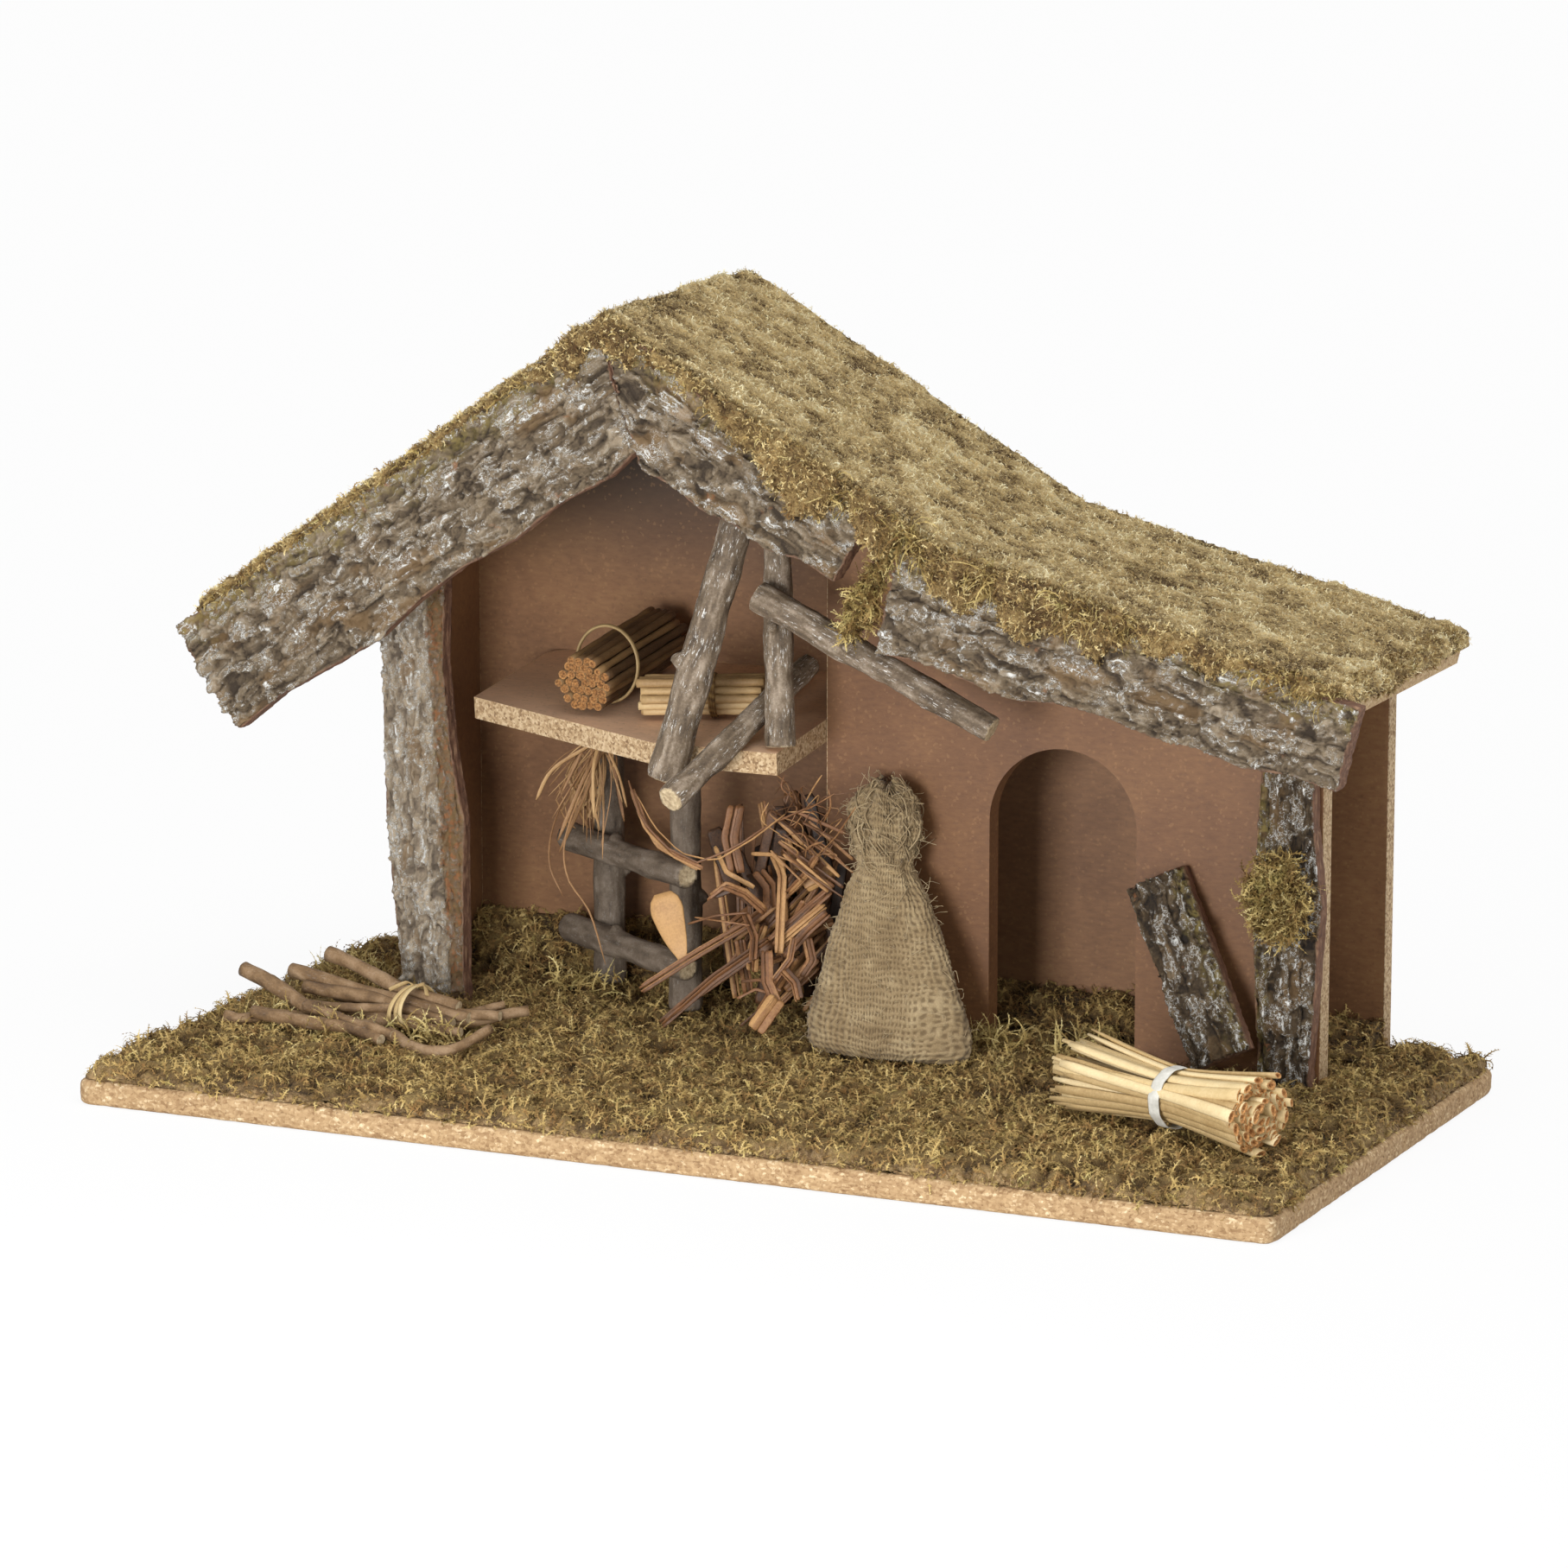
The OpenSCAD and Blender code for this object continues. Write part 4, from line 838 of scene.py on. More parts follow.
class StableBarkSlabs(bpy.types.Operator):
    """Make the fascias, the posts and the plank in flaky bark."""

    bl_idname = "stable.bark_slabs"
    bl_label = "Bark slabs"

    # The way that each slab runs and the way that its bark faces
    FRONT = (0, -1, 0)
    SLABS = {
        "fascia_left": ((0.819, 0, 0.574), FRONT),
        "fascia_middle": ((0.866, 0, -0.5), FRONT),
        "fascia_right": ((0.970, 0, -0.242), FRONT),
        "left_post": ((-0.059, 0, 0.998), FRONT),
        "right_post": ((0, 0, 1), FRONT),
        "leaning_plank": ((-0.454, 0.2, 0.868), (0, -1, 0.23)),
    }

    def execute(self, context):
        bark = context.scene.stable_bark
        finish = bark_finish("bark", bark.lichen, 0.66, 0.0)
        own = {"left_post": bark_finish("silver_bark", bark.lichen, 1.7, 1.0, 44),
               "right_post": bark_finish("dark_bark", bark.lichen, 1.25, 0.0, -30)}
        own["leaning_plank"] = own["right_post"]
        for seed, (node, (run, face)) in enumerate(self.SLABS.items()):
            chosen = own.get(node, finish)
            self.slab(node, unit(np.array(run, float)), unit(np.array(face, float)), bark, chosen, 40 * seed)
        return {"FINISHED"}

    def slab(self, node, run, face, bark, finish, seed):
        """A slab's packed form with its face pushed out in sheets, plates and flakes along its length."""
        places, normals, faces = skinned(node, bark.grain)
        across = np.cross(face, run)
        if node == "leaning_plank":
            places = self.straightened(places, run, across)
            places = places + np.outer(smooth(normals @ face, 0, 0.6), face) * 3 * MM
        flat = np.stack([places @ run, places @ across], axis=1)
        rise = (flat[:, 1] - flat[:, 1].min()) / np.ptp(flat[:, 1])
        if across[2] < 0:
            rise = 1 - rise
        height = places @ face
        swirl = np.stack([rough(places, 11 * MM, seed + k) for k in (1, 2)], axis=1)
        flat = flat + swirl * (9 * MM, 4 * MM)
        long_way = np.stack([flat[:, 0] * 0.38, flat[:, 1], height * 0.5], axis=1)
        sheets = rough(long_way, bark.plate, seed + 3, 4) * 2.6 + 6
        layer = np.floor(sheets)
        step = layer + smooth(sheets - layer, 0.62, 1.0)
        ridges = 1 - np.abs(rough(long_way, bark.plate * 0.62, seed + 11, 3)) * 1.8
        gap, offset, luck = cells(np.stack([flat[:, 0] / 5.5, flat[:, 1] / 3.2], axis=1) / MM, seed)
        flakes = np.sum(offset * (luck[:, 1:] - 0.5) * 2, axis=1) - (1 - smooth(gap, 0, 0.13)) * 0.5
        grit = rough(places, 1.9 * MM, seed + 25)
        relief = (step - 6) * 0.5 + ridges * 0.5 + flakes * 0.75 + grit * 0.2 - 0.3
        skin = smooth(normals @ face, 0.15, 0.6)
        grain = rough(np.stack([flat[:, 0] / 6, flat[:, 1], height], axis=1), 1.8 * MM, seed + 30)
        move = skin * np.clip(relief, -1.5, 1.5) * bark.relief + (1 - skin) * grain * 0.45 * MM
        places = places + normals * move[:, None]
        depth = np.clip(0.5 + relief * 0.42, 0, 1) * skin + (1 - skin) * 0.5
        marks = {"depth": depth, "tone": luck[:, 2], "skin": skin, "rise": rise}
        marks.update(run=flat[:, 0], across=flat[:, 1], out=height)
        piece(node + "_bark", places, [faces], finish, [node], marks)

    @staticmethod
    def straightened(places, run, across):
        """A slab with its wandering long edges drawn out straight."""
        along, aside = places @ run, places @ across
        stretches = 40
        stops = np.linspace(along.min(), along.max(), stretches + 1)
        middles = (stops[1:] + stops[:-1]) / 2
        which = np.clip(np.digitize(along, stops) - 1, 0, stretches - 1)
        low = np.array([aside[which == k].min() for k in range(stretches)])
        high = np.array([aside[which == k].max() for k in range(stretches)])
        low_here, high_here = np.interp(along, middles, low), np.interp(along, middles, high)
        wanted_low = np.polyval(np.polyfit(middles, low, 1), along)
        wanted_high = np.polyval(np.polyfit(middles, high, 1), along)
        moved = wanted_low + (aside - low_here) / (high_here - low_here) * (wanted_high - wanted_low)
        return places + np.outer(moved - aside, across)


class StableTwigs(bpy.types.Operator):
    """Make the twigs at the loft's front and the hay rack."""

    bl_idname = "stable.twigs"
    bl_label = "Twigs"

    # The way that each twig runs, as the millimetres it covers, and its radius in millimetres
    LOFT = {
        "long_twig": ((28.1, 12.4, 111.1), 8.1),
        "short_twig": ((-6.4, 9.2, 116.7), 6.4),
        "cross_twig": ((21.6, 84, 41.2), 5.8),
        "eave_twig": ((99.2, 0, -45.2), 6.6),
    }
    RACK = {
        "rack_post_left": ((0, 0, 1), 6.2), "rack_post_right": ((0, 0, 1), 6.2),
        "rack_rung_lower": ((76.1, -48.1, 0), 5.4), "rack_rung_upper": ((76.1, -48.1, 0), 5.4),
    }

    def execute(self, context):
        rough_twig = twig_finish("twig_bark", (52, 40, 29), (108, 92, 73), 1.0, 62)
        plain_twig = twig_finish("rack_bark", (64, 53, 43), (108, 94, 79), 0.15, 36)
        for twigs, finish, relief, swell, seed in (
                (self.LOFT, rough_twig, 0.45 * MM, 0.0, 500),
                (self.RACK, plain_twig, 0.28 * MM, 0.9 * MM, 600)):
            for k, (node, (run, radius)) in enumerate(twigs.items()):
                self.twig(node, unit(np.array(run, float)), radius * MM, finish, relief, swell, seed + 10 * k)
        return {"FINISHED"}

    @staticmethod
    def twig(node, run, radius, finish, relief, swell, seed):
        """A twig's packed form with ridges along it and knots. swell thickens it all over."""
        places, normals, faces = skinned(node, 0.85 * MM)
        along = places @ run
        ends = np.minimum(along - along.min(), along.max() - along)
        cut = smooth(np.abs(normals @ run), 0.72, 0.86) * (1 - smooth(ends, radius * 0.8, radius * 1.2))
        squeezed = places - np.outer(along, run) * 0.8
        ridges = rough(squeezed, 1.7 * MM, seed)
        bumps = rough(places, 12 * MM, seed + 5)
        relief_here = ((ridges * 0.6 + bumps * 1.6) * relief + swell) * (1 - cut)
        rings = rough(places, 1.4 * MM, seed + 8) * cut * 0.15 * MM
        places = places + normals * (relief_here + rings)[:, None]
        marks = {"cut": cut, "tone": 0.5 + 0.5 * bumps, "depth": 0.5 + 0.5 * ridges}
        marks.update({"side_" + axis: squeezed[:, k] for k, axis in enumerate("xyz")})
        piece(node + "_wood", places, [faces], finish, [node], marks)


class StableMossGround(bpy.types.Operator):
    """Lay the moss on the base and bank it along the back wall."""

    bl_idname = "stable.moss_ground"
    bl_label = "Ground moss"

    # Pieces that the strips are shared out to, which keeps each under the export's limit
    SHARES = 7
    MATS = ("ground_moss", "moss_bank_room", "moss_bank_bay")
    LUMP = 9.5 * MM

    def execute(self, context):
        moss = context.scene.stable_moss
        rng = np.random.default_rng(SEED)
        litter = litter_finish("moss_litter", (52, 36, 17), (113, 88, 48), (166, 141, 86), (176, 144, 102))
        grown = [self.mat(node, moss, litter, rng) for node in self.MATS]
        roots, outs = (np.vstack(part) for part in zip(*grown))
        thin = self.thinness(roots)
        kept = rng.random(len(roots)) < 1 - 0.8 * thin
        roots, outs, thin = roots[kept], outs[kept], thin[kept]
        height = lumps(roots, self.LUMP, 71)
        patch = rough(roots, 14 * MM, 90)
        lengths = moss.ground_strip * rng.uniform(0.4, 1.5, len(roots))
        lengths = lengths * (0.75 + 0.5 * height) * (1 - 0.25 * thin)
        lean = 0.2 + 0.5 * rng.random((len(roots), 1))
        headings = unit(outs * lean + unit(rng.normal(size=roots.shape)))
        # Strips on lump tops are lighter and in creases darker: painted light and shade.
        tone = np.clip(rng.random(len(roots)) * 0.35 + 0.7 * height + 0.12 * patch, 0, 1)
        ends = (186, 159, 98), (222, 204, 146)
        finish = moss_finish("ground_moss", (59, 40, 20), moss.ground_colour, *ends, 0.75)
        from_left = np.argsort(roots[:, 0], kind="stable")
        for share, ids in enumerate(np.array_split(from_left, self.SHARES)):
            widths = moss.ground_width * rng.uniform(0.6, 1.3, len(ids))
            bends = rng.uniform(1.0, 5.6, len(ids))
            heading = headings[ids]
            axes = unit(np.cross(outs[ids], heading) + 0.35 * rng.normal(size=heading.shape))
            axes = unit(axes - np.sum(axes * heading, axis=1, keepdims=True) * heading)
            made = fronds(roots[ids], heading, lengths[ids], widths, bends, 6, rng, leaf=2.9, axes=axes)
            moss_strips(f"ground_moss_strips_{share + 1}", made, tone[ids], finish)
        return {"FINISHED"}

    def mat(self, node, moss, litter, rng):
        """One node's matted moss. Returns where its strips grow and which way is out there."""
        places, normals, faces = skinned(node, 1.7 * MM)
        thin = self.thinness(places)
        height = lumps(places, self.LUMP, 71)
        swell = height + 0.5 * rough(places, 20 * MM, 73)
        if node == "ground_moss":
            rim = 0.9 * MM * (1 - smooth(self.to_edge(places), 2.2 * MM, 4.5 * MM))
            level = 10.3 * MM - rim + (4.8 * MM + 3.6 * moss.lumps * (swell - 0.5)) * (1 - thin)
            places[:, 2] = np.minimum(places[:, 2], level)
        else:
            up = smooth(normals[:, 2], 0.1, 0.7) + 0.5 * smooth(-normals[:, 1], 0.2, 0.8)
            places = places + normals * (up * (2.6 * moss.lumps * swell - 3 * MM))[:, None]
            thin = 0.0
        # The lumps' height goes in as lump: painted shade in creases, painted light on tops.
        surface = moss_mat(node + "_mat", places, faces, height, litter, [node], thin)
        return scattered(surface, moss.ground_density, rng, self.in_the_open)

    @staticmethod
    def to_edge(places):
        """How far in from the base's edge each point is."""
        low, high = box("base_board")
        return np.min(np.minimum(places - low, high - places)[:, :2], axis=1)

    def thinness(self, places):
        """1 where the moss thins out at the base's rim."""
        edge = self.to_edge(places)
        return 1 - smooth(edge + 3 * MM * rough(places, 14 * MM, 75), -0.5 * MM, 8 * MM)

    @staticmethod
    def in_the_open(spots, out):
        """Which of the spots face up and aren't under a wall."""
        clear = out[:, 2] > -0.2
        for wall in ("back_wall", "left_wall", "arch_panel"):
            low, high = box(wall)
            clear &= ~np.all((spots[:, :2] > low[:2]) & (spots[:, :2] < high[:2]), axis=1)
        return clear


class StableMossRoof(bpy.types.Operator):
    """Cover the roof boards with curly moss that hangs over the fascias' upper edges."""

    bl_idname = "stable.moss_roof"
    bl_label = "Roof moss"

    LUMP = 4.4 * MM
    STRETCH = np.array([0.72, 1.0, 0.8])

    def execute(self, context):
        moss = context.scene.stable_moss
        rng = np.random.default_rng(SEED + 1)
        litter = litter_finish("roof_litter", (84, 61, 29), (220, 192, 134), (255, 247, 210), (150, 124, 74))
        ends = (255, 246, 204), (255, 252, 230)
        finish = moss_finish("roof_moss", (84, 60, 28), moss.roof_colour, *ends, 0.4, 0.4)
        for part in ("left", "middle", "low"):
            node = "roof_moss_" + part
            places, normals, faces = skinned(node, 1.15 * MM)
            up = smooth(normals[:, 2], 0.0, 0.5)
            height = self.height(places)
            swell = rough(places, 24 * MM, 181)
            fine = rough(places, 2.4 * MM, 187)
            rise = moss.lumps * (1.9 * height + 0.9 * swell + 0.5 * fine) - 2.5 * MM
            places = places + normals * (up * rise)[:, None]
            # Painted shade in the mat's creases and painted light on its ridges, by height.
            lump = np.clip(0.9 * height + 0.25 * fine - 0.04 + 0.1 * swell, 0, 1)
            surface = moss_mat(node + "_mat", places, faces, lump, litter, [node])
            spots, out = scattered(surface, moss.roof_density, rng, self.in_sight)
            count = len(spots)
            height = self.height(spots)
            lengths = moss.roof_strip * rng.uniform(0.6, 1.5, count) * (0.65 + 0.55 * height)
            headings = unit(out * 0.2 + unit(rng.normal(size=spots.shape) * (1.3, 1.0, 1.0)))
            bends = rng.uniform(1.2, 4.0, count)
            widths = moss.roof_width * rng.uniform(0.6, 1.4, count)
            made = fronds(spots, headings, lengths, widths, bends, 3, rng)
            # Strips on the mat's ridges are lighter and in its creases darker: painted light and shade.
            tone = np.clip(rng.random(count) * 0.35 + 0.75 * height, 0, 1)
            moss_strips(node + "_strips", made, tone, finish)
        return {"FINISHED"}

    @staticmethod
    def in_sight(spots, out):
        """Which of the spots don't face down on the boards."""
        return out[:, 2] > -0.25

    def height(self, places):
        """How high the mat stands, from 0 in its creases to 1: uneven ridges more than round lumps."""
        spots = places * self.STRETCH
        ridges = 0.3 * lumps(spots, self.LUMP, 171) + 0.55 * rough(spots, 6.5 * MM, 175, 4)
        return np.clip(0.34 + ridges, 0, 1)


class StableMossTufts(bpy.types.Operator):
    """Make the hanging tufts: in the fascias' gap, over their upper edges and on the right post."""

    bl_idname = "stable.moss_tufts"
    bl_label = "Moss tufts"

    # Strips to a square millimetre, their length in millimetres, how they droop and their leaflets' length
    TUFTS = {"eave_moss_clump": (1.0, 8.0, 0.14, 2.6), "post_moss_clump": (1.0, 9.5, 0.05, 3.2)}

    # The fascias' upper edge, as X and Z in millimetres: left end, ridge, knee and right end
    EAVE = np.array([[-249, 176.6], [-72, 300.6], [72, 217.6], [232, 177.7]])

    # The roll of moss on that edge, in millimetres: along the front, then back along the right end
    ROLL = np.array([
        [-252, -14, 177], [-72, -14, 302], [72, -14, 219], [222, -14, 181], [230, -8, 179.5],
        [231, 60, 180], [231, 116, 180]])

    # How thick the roll is at each X in millimetres
    ROLL_STOPS = (-260, -110, -84, -58, -30, 10, 40, 70, 120, 180, 240, 260)
    ROLL_THICK = (0.0, 0.1, 0.9, 0.9, 0.4, 0.8, 1.15, 0.8, 0.75, 0.6, 0.4, 0.3)

    # Middles of the clumps of tall sprigs in millimetres, and how many sprigs each has
    SPRIGS = {
        (-222, 57, 14): 260, (-176, -44, 17): 110, (-206, -36, 17): 90, (-140, -34, 17): 90,
        (66, 44, 20): 110, (100, 50, 18): 60, (186, -8, 18): 80, (-120, 60, 20): 60,
    }

    def execute(self, context):
        rng = np.random.default_rng(SEED + 2)
        litter = litter_finish("tuft_litter", (62, 44, 22), (128, 100, 54), (176, 150, 94), (120, 100, 60))
        finish = moss_finish("tuft_moss", (84, 60, 28), (150, 124, 68), (204, 182, 118), (232, 220, 164))
        for node, (density, strip, pull, leaf) in self.TUFTS.items():
            places, normals, faces = skinned(node, 1.6 * MM)
            places = places + normals * ((rough(places, 8 * MM, 231) * 2.4 - 4.2) * MM)[:, None]
            lump = 0.5 + 0.5 * rough(places, 4 * MM, 235)
            surface = moss_mat(node + "_core", places, faces, lump, litter, [node])
            spots, out = scattered(surface, density, rng, lambda spots, out: out[:, 1] < 0.6)
            lengths = strip * MM * rng.uniform(0.35, 1.4, len(spots))
            headings = unit(out + unit(rng.normal(size=spots.shape)) * 1.1)
            name = node + "_strips"
            grown(name, spots, headings, lengths, (0.4, 1.2), (0.6, 3.6), 7, finish, rng, pull, leaf)
        self.roll(rng)
        self.fringe(finish, rng)
        self.sprigs(finish, rng)
        self.rim(finish, rng)
        return {"FINISHED"}

    def roll(self, rng):
        """Moss that spills over the fascias' upper edge and round the right end, thick in places."""
        corners = self.ROLL * MM
        path = walked(corners, np.arange(0, travelled(corners)[-1], 1.3 * MM))
        thick = np.interp(path[:, 0] / MM, self.ROLL_STOPS, self.ROLL_THICK)
        thick = np.where(path[:, 1] > -8 * MM, 0.25, thick)
        wave = 0.6 + 1.3 * rough(path, 15 * MM, 271)
        thick = np.clip(thick * wave, 0.02, 1.4)[:, None]
        forward = np.where(path[:, 1:2] > -9 * MM, (0.9, 0, 0), (0, -1.0, 0))
        up = np.array([0, 0, 1.0])
        sides = 34
        angle = circle(sides)
        wide, tall = (4.2 + 6 * thick) * MM, (3 + 8.5 * thick) * MM
        middle = path + forward * thick * 2.6 * MM + up * (4.5 * MM - 0.7 * tall)
        rings = middle[:, None] + (wide * np.cos(angle))[..., None] * forward[:, None]
        rings = rings + (tall * np.sin(angle))[..., None] * up
        quads, index = ring_faces(len(path), sides)
        places, faces = rings.reshape(-1, 3), quads[:, ::-1]
        normals = point_normals(places, faces)
        push = rough(places, 6 * MM, 281) * 2.4 + rough(places, 2.6 * MM, 285) * 0.9 - 0.6
        places = places + normals * (push * MM)[:, None]
        # Painted shade in the roll's hollows and painted light on its bulges.
        lump = np.clip(0.5 + 0.25 * push, 0, 1)
        ends = [index[0][None], index[-1, ::-1][None]]
        litter = litter_finish("eave_litter", (84, 60, 31), (168, 140, 88), (228, 206, 154), (150, 126, 80))
        surface = moss_mat("eave_moss_roll_mat", places, faces, lump, litter, (), ends=ends)
        spots, out = scattered(surface, 0.6, rng)
        headings = unit(out * 0.7 + 0.8 * unit(rng.normal(size=spots.shape)))
        lengths = rng.uniform(1.2, 4.0, len(spots)) * MM
        ends = (226, 206, 150), (246, 234, 190)
        finish = moss_finish("eave_moss", (86, 62, 32), (172, 144, 90), *ends, 0.5, 0.35)
        widths, bends = (0.35, 0.8), (0.6, 3.4)
        grown("eave_moss_roll_strips", spots, headings, lengths, widths, bends, 3, finish, rng, 0.12)

    def fringe(self, finish, rng):
        """Strips that hang over the fascias' upper edge, in uneven swags."""
        eave = self.EAVE * MM
        count = 4200
        x = rng.uniform(eave[0, 0], eave[-1, 0], count)
        z = np.interp(x, eave[:, 0], eave[:, 1]) + rng.uniform(0, 6, count) * MM
        y = rng.uniform(-21, -9, count) * MM
        spots = np.stack([x, y, z], axis=1)
        swag = smooth(rough(np.stack([x, x * 0, x * 0], axis=1), 22 * MM, 251), -0.35, 0.6)
        long_part = smooth(x, -14 * MM, 10 * MM) * (1 - 0.7 * smooth(x, 130 * MM, 165 * MM))
        swag = swag * (0.3 + 0.7 * long_part) + 0.2 * long_part
        kept = rng.random(count) < 0.25 + 0.75 * swag
        spots, swag, count = spots[kept], swag[kept], int(kept.sum())
        lengths = (3.5 + 11 * swag) * rng.uniform(0.4, 1.3, count) * MM
        headings = np.array([0, -1.0, 0.35]) + 0.7 * unit(rng.normal(size=spots.shape))
        widths, bends = (0.42, 0.98), (0.6, 3.2)
        grown("eave_moss_fringe", spots, headings, lengths, widths, bends, 6, finish, rng, 0.26, 1.7)

    @staticmethod
    def rim(finish, rng):
        """Strips that hang over the base's upper edge here and there."""
        low, high = box("base_board")
        count, inset = 5200, 4 * MM
        side = rng.integers(0, 4, count)
        is_long = (side < 2)[:, None]
        across = np.stack([rng.random(count), side % 2 * 1.0], axis=1)
        across = np.where(is_long, across, across[:, ::-1])
        spots = np.empty((count, 3))
        spots[:, :2] = low[:2] + inset + across * (high - low - 2 * inset)[:2]
        out = np.sign(across - 0.5) * np.where(is_long, (0, 1), (1, 0))
        spots[:, :2] += out * rng.uniform(-3, 2.6, (count, 1)) * MM
        spots[:, 2] = high[2] + rng.uniform(0.3, 2.5, count) * MM
        swag = smooth(rough(spots, 17 * MM, 261), -0.1, 0.7)
        kept = rng.random(count) < 0.2 + 0.8 * swag
        spots, out, swag, count = spots[kept], out[kept], swag[kept], int(kept.sum())
        headings = np.column_stack([out, np.full(count, 0.15)]) + 0.8 * unit(rng.normal(size=spots.shape))
        lengths = (2.4 + 3.2 * swag) * rng.uniform(0.5, 1.3, count) * MM
        widths, bends, tones = (0.45, 1.05), (0.6, 3.2), (0.1, 0.9)
        grown("ground_moss_rim", spots, headings, lengths, widths, bends, 5, finish, rng, 0.12, 2.8, tones)

    def sprigs(self, finish, rng):
        """Taller sprigs on the ground, in clumps."""
        places = np.repeat(list(self.SPRIGS), list(self.SPRIGS.values()), axis=0)
        count = len(places)
        spots = (places + rng.normal(size=(count, 3)) * (7, 4, 1.5)) * MM
        headings = np.array([0, -0.1, 1.0]) + 0.8 * rng.normal(size=(count, 3))
        lengths = rng.uniform(5, 16, count) * MM
        widths, bends, tones = (0.5, 1.0), (0.3, 2.6), (0.5, 1)
        grown("ground_moss_sprig", spots, headings, lengths, widths, bends, 7, finish, rng, tones=tones)


class StableStraw(bpy.types.Operator):
    """Make the reed and stick bundles on the shelf and the sheaf at the front right."""

    bl_idname = "stable.straw"
    bl_label = "Bundles and sheaf"

    # The shelf's back left corner on its top, in millimetres, its width and its slope down to the front
    SHELF = np.array([-156, 110, 149])
    SHELF_WIDE = 150.7 * MM
    SLOPE = math.radians(6)

    def execute(self, context):
        rng = np.random.default_rng(SEED + 3)
        farm = context.scene.stable_farm
        self.reeds(rng)
        self.sticks(rng)
        self.sheaf(rng, farm.straw_width, farm.straw_colour)
        return {"FINISHED"}

    def on_shelf(self, right, forward, turn, lift):
        """A start and three directions for what lies on the shelf. right is a share of its width."""
        y_axis = np.array([0, math.cos(self.SLOPE), math.sin(self.SLOPE)])
        up = np.array([0, -math.sin(self.SLOPE), math.cos(self.SLOPE)])
        x_axis = np.array([1.0, 0, 0])
        start = self.SHELF * MM + x_axis * self.SHELF_WIDE * right - y_axis * forward + up * lift
        run = x_axis * math.cos(turn) + y_axis * math.sin(turn)
        return start, run, np.cross(up, run), up

    @staticmethod
    def hexagon(rings):
        """Middles of round things packed in rings, with 1 between neighbours."""
        spots = [(0.0, 0.0)]
        for k in range(1, rings + 1):
            for i in range(6 * k):
                a, b = math.radians(60 * (i // k)), math.radians(60 * (i // k + 2))
                spots.append((k * math.cos(a) + i % k * math.cos(b), k * math.sin(a) + i % k * math.sin(b)))
        return np.array(spots)

    def bundle(self, place, long, radius, rings, rng, sway, uneven, cup):
        """A bundle's stems. They stray by sway from their rows, and their ends fall short by uneven."""
        start, run, side, up = place
        pitch = 1.86 * radius
        spots = self.hexagon(rings) * pitch
        count, steps = len(spots), 14
        from_end = rng.uniform(0, uneven, count)
        to_end = long - rng.uniform(0, uneven, count)
        share_along = np.linspace(0, 1, steps)
        travel = from_end[:, None] + (to_end - from_end)[:, None] * share_along
        drift = rng.normal(size=(count, 2)) * sway
        wave = np.sin(np.pi * share_along)[None] - 0.6
        a = spots[:, :1] + drift[:, :1] * wave
        b = spots[:, 1:] + drift[:, 1:] * wave
        spines = start + travel[..., None] * run + a[..., None] * side + b[..., None] * up
        radii = radius * rng.uniform(0.82, 1.1, (count, 1)) * np.ones((1, steps))
        radii = radii * (1 + 0.06 * rng.normal(size=radii.shape))
        places, groups, number, _, cut = rods(spines, radii, 12, rng, cup=cup)
        return places, groups, {"tone": rng.random(count)[number], "cut": cut}

    @staticmethod
    def hoop(name, ring, radius, flat, width_run, finish, slot, node, wide=1.0):
        """A closed band round a bundle. wide stretches its section along width_run."""
        sides = 10
        tangent = unit(np.roll(ring, -1, 0) - np.roll(ring, 1, 0))
        width = np.broadcast_to(width_run, ring.shape)
        width = unit(width - np.sum(tangent * width_run, 1, keepdims=True) * tangent)
        out = np.cross(tangent, width)
        angle = circle(sides)[:, None, None]
        places = ring + radius * (wide * np.cos(angle) * width + flat * np.sin(angle) * out)
        index = np.arange(len(ring) * sides).reshape(sides, -1)
        quads = between_rings(index, np.roll(index, -1, 0))
        piece(name, places.reshape(-1, 3), [quads], finish, [node])

    def reeds(self, rng):
        """The dark reeds, which point at the back wall, with an elastic band."""
        place = self.on_shelf(0.38, 90 * MM, math.radians(90), 14.3 * MM)
        reed = stalk_finish("reed", (66, 46, 28), (112, 84, 52), (152, 120, 78), (96, 62, 32), (178, 128, 74))
        places, groups, marks = self.bundle(place, 78 * MM, 1.9 * MM, 3, rng, 0.35 * MM, 4 * MM, 0.5)
        piece("reeds", places, groups, reed, ["reed_bundle"], marks)
        start, run, side, up = place
        rubber = plain_finish("rubber_ring", (150, 124, 82), (176, 150, 104), 6 * MM, 0.4)
        angle = circle(72)[:, None]
        middle = start + 24 * MM * run + 2.2 * MM * up
        ring = middle + 13.6 * MM * np.cos(angle) * side + 15.4 * MM * np.sin(angle) * (up + 0.12 * run)
        self.hoop("reed_ring", ring, 1.1 * MM, 0.6, run, rubber, "elastic_band", "reed_band")

